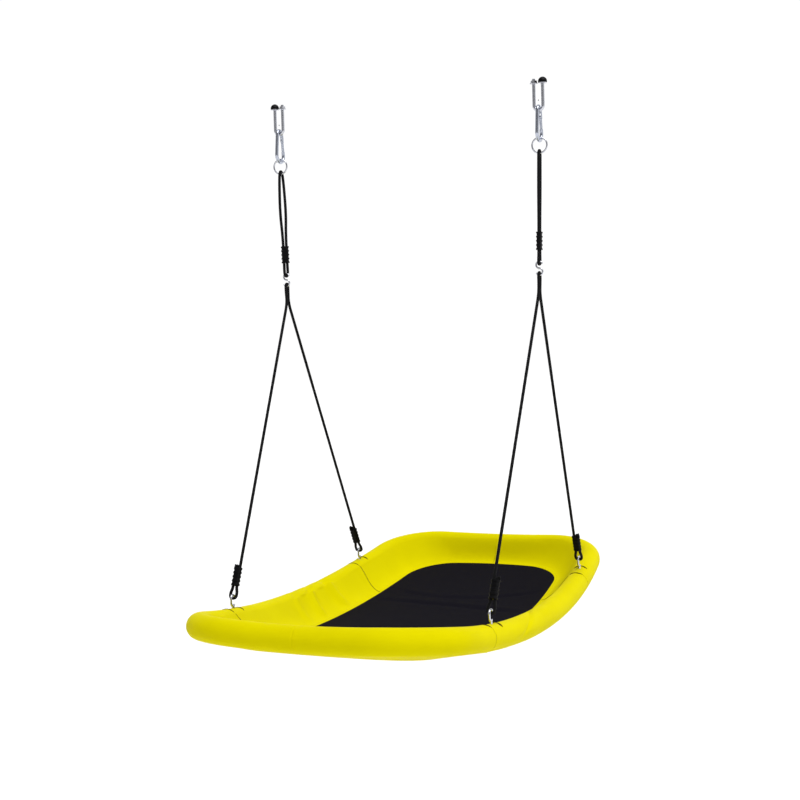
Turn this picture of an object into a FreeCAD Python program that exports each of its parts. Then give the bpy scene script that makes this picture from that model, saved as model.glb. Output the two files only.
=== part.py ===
"""Platform swing: a padded oblong seat on two V ropes, hung from two U-bolts under a beam.

Frame: +X along the beam, +Y along the seat, +Z up. The origin is on the plane of the beam's
underside, midway between the two U-bolts. All lengths are in millimetres.
"""
import FreeCAD
import Part
import math
import os

from FreeCAD import Placement, Rotation, Vector

doc = FreeCAD.newDocument("platform_swing")

SIZES = {
    # where things hang
    "hanger_spacing": 776,
    "seat_drop": 1381,
    "link_gap": 0.5,
    # U-bolts, washers and nuts
    "bolt_rod": 9.5,
    "bolt_thread": 9,
    "bolt_width": 34,
    "bolt_drop": 33,
    "beam_depth": 42,
    "thread_length": 11,
    "washer_outer": 22,
    "washer_hole": 9.9,
    "washer_thick": 2,
    "dome_outer": 24,
    "dome_height": 15,
    "dome_skirt": 5,
    "nut_width": 16,
    "nut_height": 6,
    # carabiners
    "snap_rod": 10,
    "snap_length": 100,
    "snap_wide": 50,
    "snap_neck": 36,
    "gate_rod": 8,
    "gate_pin": 3,
    "pin_length": 9.6,
    "gate_length": 36,
    "gate_top": 40,
    # rings and S-hooks
    "ring_outer": 46,
    "ring_wire": 5,
    "link_wire": 5,
    "link_radius": 9,
    "link_drop": 446,
    # ropes and their adjusters
    "rope_size": 8,
    "hole_spacing": 10,
    "hole_size": 9.4,
    "adjuster_length": 48,
    "adjuster_width": 21,
    "adjuster_depth": 12.5,
    "rib_width": 24,
    "rib_depth": 15.5,
    "rib_thick": 4,
    "rib_pitch": 11,
    "rib_count": 5,
    "knot_size": 14,
    # eye hooks
    "eye_wire": 6,
    "eye_radius": 10,
    "eye_straight": 8,
    "eye_stem": 5,
    "eye_shank": 8,
    "eye_along": 402,
    "hook_nut_width": 13,
    "hook_nut_height": 6,
    "tube_hole": 8.4,
    "cover_hole": 8.8,
    # padded rim
    "half_width": 374.5,
    "half_length": 730,
    "side_bow": 50,
    "end_bow": 30,
    "corner_radius": 180,
    "rim_rise": 92,
    "side_dip": 22,
    "sleeve_radius": 32,
    "sleeve_thick": 0.9,
    "tube_outer": 25.4,
    "tube_wall": 1.5,
    # mat and border
    "mat_half_width": 266,
    "mat_half_length": 650,
    "mat_bow": 32,
    "mat_corner": 142,
    "mat_drop": 46,
    "mat_rise": 80,
    "mat_thick": 3,
    "border_thick": 1.6,
    "seam_offset": 40,
}

sheet = doc.addObject("Spreadsheet::Sheet", "Sizes")
for row, (alias, value) in enumerate(SIZES.items(), start=1):
    sheet.set(f"A{row}", alias)
    sheet.set(f"B{row}", str(value))
    sheet.setAlias(f"B{row}", alias)
doc.recompute()

NODES = []
SIDES = (("left", -1), ("right", 1))
ENDS = (("near", -1), ("far", 1))
X_AXIS, Y_AXIS, Z_AXIS = Vector(1, 0, 0), Vector(0, 1, 0), Vector(0, 0, 1)
CLEARANCE = 0.3
THREAD_FIT = 0.05
ARC_SHARE = 0.45


def size(alias):
    """A driving dimension, read from the sheet."""
    return float(sheet.get(alias))


def primitive(kind, name, placement=None, **formulas):
    """A Part primitive whose properties are bound to formulas of the sheet's cells."""
    thing = doc.addObject("Part::" + kind, name)
    for prop, formula in formulas.items():
        thing.setExpression(prop, formula)
    if placement:
        thing.Placement = placement
    return thing


def fuse(name, pieces):
    joined = doc.addObject("Part::MultiFuse", name)
    joined.Shapes = pieces
    return joined


def cut(name, base, tool):
    result = doc.addObject("Part::Cut", name)
    result.Base = base
    result.Tool = tool
    return result


def group(name, pieces):
    """Identical fasteners that share one node as separate solids."""
    together = doc.addObject("Part::Compound", name)
    together.Links = pieces
    return together


def shaped(name, shape):
    """A swept or lofted piece, made with Part's own functions."""
    feature = doc.addObject("Part::Feature", name)
    feature.Shape = shape
    return feature


def node(thing, label, placement=None):
    """Names a finished sub-part, and puts it in its place."""
    thing.Label = label
    if placement:
        thing.Placement = placement
    NODES.append(thing)
    return thing


def at(x=0.0, y=0.0, z=0.0, rotation=None):
    return Placement(Vector(x, y, z), rotation or Rotation())


# ---------------------------------------------------------------- shared geometry

HANG_X = size("hanger_spacing") / 2
ROPE_R = size("rope_size") / 2
BOLT_Z = -size("bolt_drop") + size("bolt_rod") / 2
SNAP_TOP_Z = BOLT_Z + size("bolt_rod") / 2 + size("link_gap") + size("snap_rod") / 2
SNAP_LOW_Z = SNAP_TOP_Z - size("snap_length") + size("snap_rod")
RING_R = (size("ring_outer") - size("ring_wire")) / 2
RING_Z = SNAP_LOW_Z + size("snap_rod") / 2 + size("link_gap") + size("ring_wire") / 2 - RING_R
LINK_Z = -size("link_drop")
LINK_TOP_Z = LINK_Z + 2 * size("link_radius")
LINK_LOW_Z = LINK_Z - 2 * size("link_radius")
WRAP = ROPE_R + size("link_wire") / 2 + size("link_gap")


class Outline:
    """A plan outline with bowed sides and ends: a quarter is three tangent arcs.

    A place on it is a number from 0 to 12: each quarter has three pieces, side, corner and end,
    and the fraction is the share of that piece.
    """

    def __init__(self, half_x, half_y, bow_x, bow_y, corner):
        self.side_radius = (half_y ** 2 + bow_x ** 2) / (2 * bow_x)
        self.end_radius = (half_x ** 2 + bow_y ** 2) / (2 * bow_y)
        self.corner = corner
        self.side_centre = Vector(half_x - self.side_radius, 0, 0)
        self.end_centre = Vector(0, half_y - self.end_radius, 0)
        to_side = self.side_radius - corner
        to_end = self.end_radius - corner
        apart = self.end_centre - self.side_centre
        along = (to_side ** 2 - to_end ** 2 + apart.Length ** 2) / (2 * apart.Length)
        across = math.sqrt(to_side ** 2 - along ** 2)
        unit = Vector(apart).normalize()
        normal = Vector(-unit.y, unit.x, 0)
        found = [self.side_centre + unit * along + normal * sign * across for sign in (-1, 1)]
        self.corner_centre = max(found, key=lambda p: p.x + p.y)
        from_side = self.corner_centre - self.side_centre
        from_end = self.corner_centre - self.end_centre
        self.side_angle = math.atan2(from_side.y, from_side.x)
        self.end_angle = math.atan2(from_end.y, from_end.x)

    def quarter(self, piece, share):
        """The point in the first quarter, and the outward direction there."""
        arcs = (
            (self.side_centre, self.side_radius, 0.0, self.side_angle),
            (self.corner_centre, self.corner, self.side_angle, self.end_angle),
            (self.end_centre, self.end_radius, self.end_angle, math.pi / 2),
        )
        centre, radius, first, last = arcs[piece]
        angle = first + (last - first) * share
        outward = Vector(math.cos(angle), math.sin(angle), 0)
        return centre + outward * radius, outward

    def point(self, place):
        place %= 12
        quadrant, rest = divmod(place, 3)
        if quadrant % 2:
            rest = 3 - rest
        piece = min(int(rest), 2)
        spot, outward = self.quarter(piece, rest - piece)
        sign_x = 1 if quadrant in (0, 3) else -1
        sign_y = 1 if quadrant in (0, 1) else -1
        return (Vector(spot.x * sign_x, spot.y * sign_y, 0),
                Vector(outward.x * sign_x, outward.y * sign_y, 0))

    def side_share(self, y):
        """The share of a side piece at which it is y from the middle."""
        return math.asin(y / self.side_radius) / self.side_angle


TUBE_R = size("tube_outer") / 2
RIM = Outline(size("half_width"), size("half_length"), size("side_bow"), size("end_bow"),
              size("corner_radius"))
MAT = Outline(size("mat_half_width"), size("mat_half_length"), size("mat_bow"), size("mat_bow"),
              size("mat_corner"))

FAR_SEAM = RIM.side_share(size("eye_along") - size("seam_offset"))
NEAR_SEAM = RIM.side_share(size("eye_along") + size("seam_offset"))
# Seams of the cover and joints of the frame, counter-clockwise from the right-hand side's middle.
KNOTS = [0, FAR_SEAM, 1, 2, 3, 4, 5, 6 - FAR_SEAM, 6, 6 + NEAR_SEAM, 7, 8, 9, 10, 11,
         12 - NEAR_SEAM, 12]


def rim_height(x, y):
    """The height of the rim's centreline: it rises to the ends and dips a little inwards."""
    rise = size("rim_rise") * (y / size("half_length")) ** 2
    dip = size("side_dip") * ((x / size("half_width")) ** 2 - 1)
    return -size("seat_drop") + rise + dip


def rim_point(place):
    spot, outward = RIM.point(place)
    return Vector(spot.x, spot.y, rim_height(spot.x, spot.y))


def stations():
    """Places about 50 mm apart around the rim, with each seam midway between two of them."""
    places = []
    for first, last in zip(KNOTS, KNOTS[1:]):
        reach = (rim_point(last) - rim_point(first)).Length
        count = max(2, round(reach / 50))
        places += [first + (last - first) * (i + 0.5) / count for i in range(count)]
    return places


STATIONS = stations()


def neighbours(first, last):
    """The stations between two places, with one more at each end."""
    turns = [place + 12 * lap for lap in (-1, 0, 1) for place in STATIONS]
    inside = [place for place in turns if first < place < last]
    before = max(place for place in turns if place <= first)
    after = min(place for place in turns if place >= last)
    return [before] + inside + [after]


def rounded(points, report=None, trimmed=False):
    """Straight runs joined by tangent arcs, each as large as its two runs allow.

    A trimmed path starts and ends midway along its first and last runs.
    """
    edges = []
    radii = []
    here = (points[0] + points[1]) * 0.5 if trimmed else points[0]
    there = (points[-2] + points[-1]) * 0.5 if trimmed else points[-1]
    for before, corner, after in zip(points, points[1:], points[2:]):
        back = before - corner
        on = after - corner
        reach = ARC_SHARE * min(back.Length, on.Length)
        turn = math.pi - back.getAngle(on)
        radius = reach / math.tan(turn / 2)
        start = corner + Vector(back).normalize() * reach
        end = corner + Vector(on).normalize() * reach
        inwards = (Vector(back).normalize() + Vector(on).normalize()).normalize()
        middle = corner + inwards * (radius / math.cos(turn / 2) - radius)
        edges.append(Part.LineSegment(here, start).toShape())
        edges.append(Part.Arc(start, middle, end).toShape())
        radii.append(radius)
        here = end
    edges.append(Part.LineSegment(here, there).toShape())
    path = Part.Wire(edges)
    if report:
        print(f"{report}: {path.Length:.0f} mm long, arc radii", [round(r) for r in radii])
    return path


def rim_path(first, last):
    """The rim's centreline from one seam to another."""
    return rounded([rim_point(place) for place in neighbours(first, last)], trimmed=True)


def tube_along(path, radius, bore=0.0):
    """A round bar or a tube along a path."""
    start = path.Edges[0].Vertexes[0].Point
    towards = path.Edges[0].Vertexes[1].Point - start

    def bar(bar_radius):
        circle = Part.Wire(Part.makeCircle(bar_radius, start, towards))
        solid = path.makePipe(Part.Face(circle))
        expected = math.pi * bar_radius ** 2 * path.Length
        if abs(solid.Volume - expected) > 0.02 * expected:
            raise ValueError(f"a sweep has volume {solid.Volume:.0f}, expected {expected:.0f}")
        return solid

    return bar(radius).cut(bar(bore)) if bore else bar(radius)


# ---------------------------------------------------------------- U-bolts, washers and nuts

def add_sketch(body, plane, name, lift=0.0):
    """A sketch on one of the body's own origin planes."""
    sketch = body.newObject("Sketcher::SketchObject", name)
    support = next(f for f in body.Origin.OriginFeatures if f.Role == plane)
    sketch.AttachmentSupport = (support, "")
    sketch.MapMode = "FlatFace"
    sketch.AttachmentOffset = Placement(Vector(0, 0, lift), Rotation())
    return sketch


def u_bolt(side, sign):
    """A bent rod with two legs: the plain shanks pass the beam, and their threads hold the nuts."""
    leg_x = (size("bolt_width") - size("bolt_rod")) / 2
    bend_z = BOLT_Z + leg_x
    shank_top = size("beam_depth")
    bar = [
        Part.LineSegment(Vector(-leg_x, 0, shank_top), Vector(-leg_x, 0, bend_z)).toShape(),
        Part.Arc(Vector(-leg_x, 0, bend_z), Vector(0, 0, BOLT_Z), Vector(leg_x, 0, bend_z)).toShape(),
        Part.LineSegment(Vector(leg_x, 0, bend_z), Vector(leg_x, 0, shank_top)).toShape(),
    ]
    rod = tube_along(Part.Wire(bar), size("bolt_rod") / 2)
    threads = [
        Part.makeCylinder(size("bolt_thread") / 2, size("washer_thick") + size("thread_length"),
                          Vector(x, 0, shank_top), Z_AXIS)
        for x in (-leg_x, leg_x)
    ]
    node(shaped("u_bolt_" + side, rod.multiFuse(threads).removeSplitter()),
         side + "_u_bolt", at(sign * HANG_X))


def washers():
    """A flat washer on each leg, on top of the beam."""
    leg_x = (size("bolt_width") - size("bolt_rod")) / 2
    pieces = []
    for side, sign in SIDES:
        for leg, leg_sign in (("inner", -1), ("outer", 1)):
            spot = at(sign * (HANG_X + leg_sign * leg_x), 0, size("beam_depth"))
            disc = primitive("Cylinder", f"washer_disc_{side}_{leg}", spot,
                             Radius="Sizes.washer_outer / 2", Height="Sizes.washer_thick")
            hole = primitive("Cylinder", f"washer_hole_{side}_{leg}", spot,
                             Radius="Sizes.washer_hole / 2", Height="Sizes.washer_thick")
            pieces.append(cut(f"washer_{side}_{leg}", disc, hole))
    node(group("washer_group", pieces), "beam_washers")


def dome_nut(side, sign):
    """A capped nut for an outer leg, turned from a half profile with a blind threaded bore."""
    body = doc.addObject("PartDesign::Body", "dome_" + side)
    profile = add_sketch(body, "XZ_Plane", "dome_profile_" + side)
    bore = size("bolt_thread") / 2 + THREAD_FIT
    depth = size("thread_length") + 0.5
    radius = size("dome_outer") / 2
    skirt = size("dome_skirt")
    crown = size("dome_height")
    # the crown is part of a sphere whose centre is on the axis
    centre = (crown ** 2 - radius ** 2 - skirt ** 2) / (2 * (crown - skirt))
    middle = (math.atan2(skirt - centre, radius) + math.pi / 2) / 2
    shoulder = Vector(math.cos(middle), math.sin(middle), 0) * (crown - centre)
    shoulder.y += centre
    corners = [Vector(bore, 0, 0), Vector(radius, 0, 0), Vector(radius, skirt, 0)]
    for start, end in zip(corners, corners[1:]):
        profile.addGeometry(Part.LineSegment(start, end), False)
    profile.addGeometry(Part.Arc(corners[2], shoulder, Vector(0, crown, 0)), False)
    inner = [Vector(0, crown, 0), Vector(0, depth, 0), Vector(bore, depth, 0), corners[0]]
    for start, end in zip(inner, inner[1:]):
        profile.addGeometry(Part.LineSegment(start, end), False)
    turned = body.newObject("PartDesign::Revolution", "dome_turned_" + side)
    turned.Profile = profile
    turned.ReferenceAxis = (profile, ["V_Axis"])
    turned.Angle = 360
    body.Tip = turned
    leg_x = HANG_X + (size("bolt_width") - size("bolt_rod")) / 2
    body.Placement = at(sign * leg_x, 0, size("beam_depth") + size("washer_thick"))
    return body


def hex_nut(name, width, height, thread, placement):
    """A hexagon nut, from formulas of its width across flats, its height and its thread."""
    prism = primitive("Prism", name + "_prism", placement,
                      Circumradius=f"{width} / 2 / cos(30 deg)", Height=height)
    prism.Polygon = 6
    hole = primitive("Cylinder", name + "_hole", placement,
                     Radius=f"{thread} / 2 + {THREAD_FIT}", Height=height)
    return cut(name, prism, hole)


def lock_nuts():
    """A thin hexagon nut on each inner leg."""
    leg_x = HANG_X - (size("bolt_width") - size("bolt_rod")) / 2
    pieces = [
        hex_nut("lock_nut_" + side, "Sizes.nut_width", "Sizes.nut_height", "Sizes.bolt_thread",
                at(sign * leg_x, 0, size("beam_depth") + size("washer_thick")))
        for side, sign in SIDES
    ]
    node(group("lock_nut_group", pieces), "lock_nuts")


# ---------------------------------------------------------------- carabiners

def snap_outline():
    """The carabiner's centreline in its own plane, as (y, z): a narrow top and a wide bottom."""
    top_radius = (size("snap_neck") - size("snap_rod")) / 2
    low_radius = (size("snap_wide") - size("snap_rod")) / 2
    top_centre = SNAP_TOP_Z - top_radius
    low_centre = SNAP_LOW_Z + low_radius
    tilt = math.asin((low_radius - top_radius) / (top_centre - low_centre))
    return top_radius, low_radius, top_centre, low_centre, tilt


def gate_line():
    """The gate's pivot and nose on the gate side's straight run, as vectors in x = 0."""
    top_radius, low_radius, top_centre, low_centre, tilt = snap_outline()
    top = Vector(0, top_radius * math.cos(tilt), top_centre + top_radius * math.sin(tilt))
    low = Vector(0, low_radius * math.cos(tilt), low_centre + low_radius * math.sin(tilt))
    down = (low - top).normalize()
    pivot = top + down * ((top.z + size("gate_top")) / -down.z)
    return pivot, pivot + down * size("gate_length"), down


def snap_path():
    """From the gate's pivot over the top, down the back and round the bottom to the nose."""
    top_radius, low_radius, top_centre, low_centre, tilt = snap_outline()
    pivot, nose, down = gate_line()
    top_y, top_z = top_radius * math.cos(tilt), top_centre + top_radius * math.sin(tilt)
    low_y, low_z = low_radius * math.cos(tilt), low_centre + low_radius * math.sin(tilt)
    start = pivot - down * 0.5
    end = nose + down * CLEARANCE
    return Part.Wire([
        Part.LineSegment(start, Vector(0, top_y, top_z)).toShape(),
        Part.Arc(Vector(0, top_y, top_z), Vector(0, 0, SNAP_TOP_Z), Vector(0, -top_y, top_z)).toShape(),
        Part.LineSegment(Vector(0, -top_y, top_z), Vector(0, -low_y, low_z)).toShape(),
        Part.Arc(Vector(0, -low_y, low_z), Vector(0, 0, SNAP_LOW_Z), Vector(0, low_y, low_z)).toShape(),
        Part.LineSegment(Vector(0, low_y, low_z), end).toShape(),
    ])


def along_gate(origin):
    """A placement at a point of the gate's line, with +Z down the line and +X across it."""
    _, _, down = gate_line()
    return Placement(origin, Rotation(X_AXIS, Vector(), down, "ZXY"))


def slab(origin, width, depth, start, length):
    """A box centred on the gate's line: width along X, depth across, from start along the line."""
    box = Part.makeBox(width, depth, length, Vector(-width / 2, -depth / 2, start))
    box.Placement = along_gate(origin)
    return box


EAR_RISE = 1.0
EAR_R = size("snap_rod") / 2 + 0.2
TONGUE = 4.0
TONGUE_FIT = 0.3
PIN_DROP = 4.0
SLOT_RISE = 4.5
NOSE_TONGUE = 3.2
NOSE_FIT = 0.25
NOSE_LENGTH = 5.0
NOSE_SLOT = 5.6


def across_gate(radius, width):
    """A cylinder across the gate, on the axis of its rivet."""
    pivot, _, down = gate_line()
    return Part.makeCylinder(radius, width, pivot + down * PIN_DROP - X_AXIS * (width / 2), X_AXIS)


def carabiner(side, sign):
    """The hook's bar, with two round-ended ears for the gate and a flat nose at the bottom."""
    pivot, nose, down = gate_line()
    rod = size("snap_rod")
    bar = tube_along(snap_path(), rod / 2)
    ears = Part.makeCylinder(rod / 2, EAR_RISE + PIN_DROP + rod, pivot - down * EAR_RISE, down)
    beyond = slab(pivot, 2 * rod, 2 * rod, PIN_DROP, 2 * rod).cut(across_gate(EAR_R, 2 * rod))
    ears = ears.cut(beyond)
    slot = slab(pivot, TONGUE + 2 * TONGUE_FIT, 1.5 * rod, -SLOT_RISE, SLOT_RISE + PIN_DROP + rod)
    tongue = Part.makeCylinder(rod / 2 - 1, NOSE_LENGTH, nose + down * CLEARANCE, down * -1)
    blade = tongue.common(slab(nose, NOSE_TONGUE, rod, -2 * NOSE_LENGTH, 3 * NOSE_LENGTH))
    hole = across_gate(size("gate_pin") / 2, 2 * rod)
    shape = bar.fuse(ears).cut(slot).fuse(blade).cut(hole).removeSplitter()
    node(shaped("snap_" + side, shape), side + "_carabiner", at(sign * HANG_X))


def carabiner_gate(side, sign):
    """The sprung gate: a knuckle between the ears, a round bar, and a slot over the nose."""
    pivot, nose, down = gate_line()
    radius = size("gate_rod") / 2
    knuckle_radius = radius * 0.9
    ear_reach = EAR_R + CLEARANCE
    bar = Part.makeCylinder(radius, size("gate_length") - PIN_DROP, pivot + down * PIN_DROP, down)
    bar = bar.cut(across_gate(ear_reach, 3 * radius))
    neck = slab(pivot, TONGUE, 2 * knuckle_radius, PIN_DROP, ear_reach + 1)
    slot = slab(nose, NOSE_TONGUE + 2 * NOSE_FIT, 3 * radius, -NOSE_SLOT, 2 * NOSE_SLOT)
    hole = across_gate(size("gate_pin") / 2 + THREAD_FIT, 3 * radius)
    knuckle = across_gate(knuckle_radius, TONGUE).fuse(neck)
    shape = bar.fuse(knuckle).cut(slot).cut(hole).removeSplitter()
    node(shaped("gate_" + side, shape), side + "_gate", at(sign * HANG_X))


def gate_pin(side, sign):
    """The rivet through both ears and the gate's tongue."""
    pivot, _, down = gate_line()
    centre = pivot + down * PIN_DROP
    start_x = sign * HANG_X - size("pin_length") / 2
    pin = primitive("Cylinder", "gate_pin_" + side, Radius="Sizes.gate_pin / 2 - 0.02",
                    Height="Sizes.pin_length")
    node(pin, side + "_gate_pin", at(start_x, centre.y, centre.z, Rotation(Z_AXIS, X_AXIS)))


def gate_spring(side, sign):
    """A short leaf between the ears that presses on the gate's knuckle."""
    pivot, _, _ = gate_line()
    width, thick, length = TONGUE * 0.6, 0.8, 3.8
    leaf = slab(pivot, width, thick, -length, length)
    node(shaped("spring_" + side, leaf), side + "_gate_spring", at(sign * HANG_X))


# ---------------------------------------------------------------- rings and S-hooks

def ring(side, sign):
    """A welded ring that lies in the plane of the beam."""
    torus = primitive("Torus", "ring_torus_" + side,
                      Radius1="(Sizes.ring_outer - Sizes.ring_wire) / 2",
                      Radius2="Sizes.ring_wire / 2")
    node(torus, side + "_ring", at(sign * HANG_X, 0, RING_Z, Rotation(X_AXIS, 90)))


def s_hook(side, sign):
    """Two open loops of wire, one above the other, that meet in the middle of the S."""
    radius = size("link_radius")
    opening = 30
    pieces = []
    for half, up in (("top", 1), ("low", -1)):
        turn = Rotation(Y_AXIS, 0 if up > 0 else 180).multiply(Rotation(X_AXIS, 90))
        arc = primitive("Torus", f"link_{half}_{side}",
                        Placement(Vector(0, 0, up * radius),
                                  turn.multiply(Rotation(Z_AXIS, opening))),
                        Radius1="Sizes.link_radius", Radius2="Sizes.link_wire / 2")
        arc.Angle3 = 270 - opening
        tip_angle = math.radians(opening)
        tip = Vector(up * radius * math.cos(tip_angle), 0,
                     up * (radius + radius * math.sin(tip_angle)))
        pieces += [arc, primitive("Sphere", f"link_tip_{half}_{side}", Placement(tip, Rotation()),
                                  Radius="Sizes.link_wire / 2")]
    node(fuse("s_hook_" + side, pieces), side + "_s_hook", at(sign * lean_x(LINK_Z), 0, LINK_Z))


# ---------------------------------------------------------------- ropes

EYE_X = RIM.point(RIM.side_share(size("eye_along")))[0].x
EYE_BASE_Z = rim_height(EYE_X, size("eye_along")) + size("sleeve_radius")
EYE_CENTRE_Z = (EYE_BASE_Z + size("eye_stem") + size("eye_wire") / 2 + size("eye_radius")
                + size("eye_straight"))
LOOP_GAP = 1.0
LOOP_R = ROPE_R + size("eye_wire") / 2 + LOOP_GAP
# where a V rope's two strands part, below the S-hook
SPLIT_Z = -512.0
SPLIT_Y = 4.7


def lean_x(z):
    """How far out a rope hangs at a height: it leans in from the ring to the eye hooks."""
    slope = (HANG_X - EYE_X) / (SNAP_LOW_Z - EYE_CENTRE_Z)
    return HANG_X - slope * (SNAP_LOW_Z - z)


class Leg:
    """One leg of a V rope. u is across the rope, in the loop's plane, and w is up along it."""

    def __init__(self, sign_x, sign_y):
        self.eye = Vector(sign_x * EYE_X, sign_y * size("eye_along"), EYE_CENTRE_Z)
        self.split = Vector(sign_x * lean_x(SPLIT_Z), sign_y * SPLIT_Y, SPLIT_Z)
        self.across = Vector(sign_x, 0, 0)
        self.up = (self.split - self.eye).normalize()
        for _ in range(5):
            self.across = (self.across - self.up * self.across.dot(self.up)).normalize()
            hole = self.eye - self.across * (size("hole_spacing") / 2)
            self.up = (self.split - hole).normalize()

    def point(self, u, w):
        return self.eye + self.across * u + self.up * w

    def placement(self, w):
        """Local +X across, local +Z up the rope."""
        return Placement(self.point(0, w), Rotation(self.across, Vector(), self.up, "ZXY"))


WIRE_W = size("eye_radius")
ADJUSTER_W = WIRE_W + 27.0
KNOT_W = ADJUSTER_W + size("adjuster_length") + 0.5


def loop_points():
    """Half of the loop round an eye hook, from its lowest point to the adjuster, as (u, w)."""
    hole = size("hole_spacing") / 2
    return [(0, WIRE_W - LOOP_R), (LOOP_R + 0.5, WIRE_W - LOOP_R), (LOOP_R + 1.5, WIRE_W + 8),
            (hole, ADJUSTER_W - 6)]


def v_rope(side, sign):
    """One rope from the near eye hook over the S-hook to the far eye hook."""
    near, far = Leg(sign, -1), Leg(sign, 1)
    x = sign * lean_x(LINK_LOW_Z)
    top = LINK_LOW_Z + WRAP
    low = LINK_LOW_Z - 2 * WRAP
    over = [Vector(x, -WRAP, low), Vector(x, -WRAP, top), Vector(x, WRAP, top), Vector(x, WRAP, low)]
    route = [near.point(-u, w) for u, w in loop_points()] + [near.split]
    route += over
    route += [far.split] + [far.point(-u, w) for u, w in reversed(loop_points())]
    path = rounded(route, side + "_v_rope")
    node(shaped("v_rope_" + side, tube_along(path, ROPE_R)), side + "_v_rope")


def rope_tail(side, sign, end, end_sign):
    """The rope's end: from under the eye hook up through the adjuster to its knot."""
    leg = Leg(sign, end_sign)
    route = [leg.point(u, w) for u, w in loop_points()]
    route.append(leg.point(size("hole_spacing") / 2, KNOT_W))
    path = rounded(route, f"{end}_{side}_tail")
    node(shaped(f"tail_{end}_{side}", tube_along(path, ROPE_R)), f"{end}_{side}_tail")


UPPER_LOW_Z = -397.0
UPPER_MID_Z = UPPER_LOW_Z + size("adjuster_length") / 2


def upper_route(side):
    """One strand up from the adjuster's middle to the ring, and its foot down to the S-hook.

    A point is (across the loop, along the seat, height above the adjuster's middle). The left
    loop's strands lie side by side in the beam's plane and turn to pass through the ring.
    """
    hole = size("hole_spacing") / 2
    if side == "left":
        strand = [(hole, 0, 0), (hole, 0, 55), (9, 1, 118), (3.5, 6.5, 203)]
        foot = [(hole, 0, -29), (2.2, 6.4, -51)]
    else:
        strand = [(0, hole, 0), (0, hole, 55), (0.5, 6, 133), (0, 7.3, 203)]
        foot = [(0, hole, -29), (0, 7, -51)]
    return strand, foot


def upper_rope(side, sign):
    """A closed rope loop from the ring to the S-hook; its ends meet inside the adjuster."""
    top = RING_Z - RING_R + WRAP - UPPER_MID_Z
    low = LINK_TOP_Z - WRAP - UPPER_MID_Z
    ends_apart = 1
    strand, foot = upper_route(side)
    half = strand + [(0, WRAP, top)]
    route = half + [(-a, -b, rise) for a, b, rise in reversed(half)][:-1]
    route += [(-a, -b, rise) for a, b, rise in foot]
    route += [(0, -WRAP, low), (0, WRAP, low)]
    route += reversed(foot)
    route.append((strand[0][0], strand[0][1], -ends_apart))
    points = []
    for across, along, rise in route:
        z = UPPER_MID_Z + rise
        points.append(Vector(sign * lean_x(z) + across, along, z))
    path = rounded(points, side + "_upper_rope")
    node(shaped("upper_rope_" + side, tube_along(path, ROPE_R)), side + "_upper_rope")


# ---------------------------------------------------------------- adjusters and knots

def stadium(sketch, width, depth):
    """A slot outline of the sheet's width and depth: width along X and depth along Y."""
    reach = (size(width) - size(depth)) / 2
    radius = size(depth) / 2
    sketch.addGeometry([
        Part.LineSegment(Vector(-reach, -radius, 0), Vector(reach, -radius, 0)),
        Part.Arc(Vector(reach, -radius, 0), Vector(reach + radius, 0, 0), Vector(reach, radius, 0)),
        Part.LineSegment(Vector(reach, radius, 0), Vector(-reach, radius, 0)),
        Part.Arc(Vector(-reach, radius, 0), Vector(-reach - radius, 0, 0), Vector(-reach, -radius, 0)),
    ], False)


def adjuster(name, placement):
    """A moulded block with five ribs and a hole for each of two rope strands."""
    body = doc.addObject("PartDesign::Body", name + "_body")
    core_sketch = add_sketch(body, "XY_Plane", name + "_core_outline")
    stadium(core_sketch, "adjuster_width", "adjuster_depth")
    core = body.newObject("PartDesign::Pad", name + "_core")
    core.Profile = core_sketch
    core.setExpression("Length", "Sizes.adjuster_length")
    rib_sketch = add_sketch(body, "XY_Plane", name + "_rib_outline")
    stadium(rib_sketch, "rib_width", "rib_depth")
    rib = body.newObject("PartDesign::Pad", name + "_rib")
    rib.Profile = rib_sketch
    rib.setExpression("Length", "Sizes.rib_thick")
    ribs = body.newObject("PartDesign::LinearPattern", name + "_ribs")
    ribs.Originals = [rib]
    ribs.Direction = (rib_sketch, ["N_Axis"])
    ribs.setExpression("Length", "Sizes.rib_pitch * (Sizes.rib_count - 1)")
    ribs.setExpression("Occurrences", "Sizes.rib_count")
    body.Tip = ribs
    doc.recompute()
    before = body.Shape.Volume
    hole_sketch = add_sketch(body, "XY_Plane", name + "_holes")
    for hole_sign in (-1, 1):
        centre = Vector(hole_sign * size("hole_spacing") / 2, 0, 0)
        hole_sketch.addGeometry(Part.Circle(centre, Z_AXIS, size("hole_size") / 2), False)
    holes = body.newObject("PartDesign::Pocket", name + "_bores")
    holes.Profile = hole_sketch
    holes.Type = "ThroughAll"
    holes.Reversed = True
    body.Tip = holes
    doc.recompute()
    if body.Shape.Volume > 0.8 * before:
        raise ValueError(name + ": the rope holes aren't cut")
    node(body, name, placement)


def upper_adjuster(side, sign):
    """It holds the two strands of the upper loop together, just above the S-hook."""
    slope = math.atan(lean_x(0) - lean_x(-1))
    turn = Rotation(Y_AXIS, math.degrees(sign * slope))
    if side == "right":
        turn = turn.multiply(Rotation(Z_AXIS, 90))
    adjuster(side + "_upper_adjuster", at(sign * lean_x(UPPER_LOW_Z), 0, UPPER_LOW_Z, turn))


KNOT_FLAT = 30.0
KNOT_OUT = 1.6


def knot(side, sign, end, end_sign):
    """The lump of the stopper knot that sits on the adjuster, over the tail's hole."""
    leg = Leg(sign, end_sign)
    ball = primitive("Sphere", f"knot_{end}_{side}", Radius="Sizes.knot_size / 2")
    ball.Angle1 = -KNOT_FLAT
    rise = size("knot_size") / 2 * math.sin(math.radians(KNOT_FLAT))
    spot = leg.placement(KNOT_W + rise)
    spot.Base = spot.Base + leg.across * (size("hole_spacing") / 2 + KNOT_OUT)
    node(ball, f"{end}_{side}_knot", spot)


# ---------------------------------------------------------------- eye hooks

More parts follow.
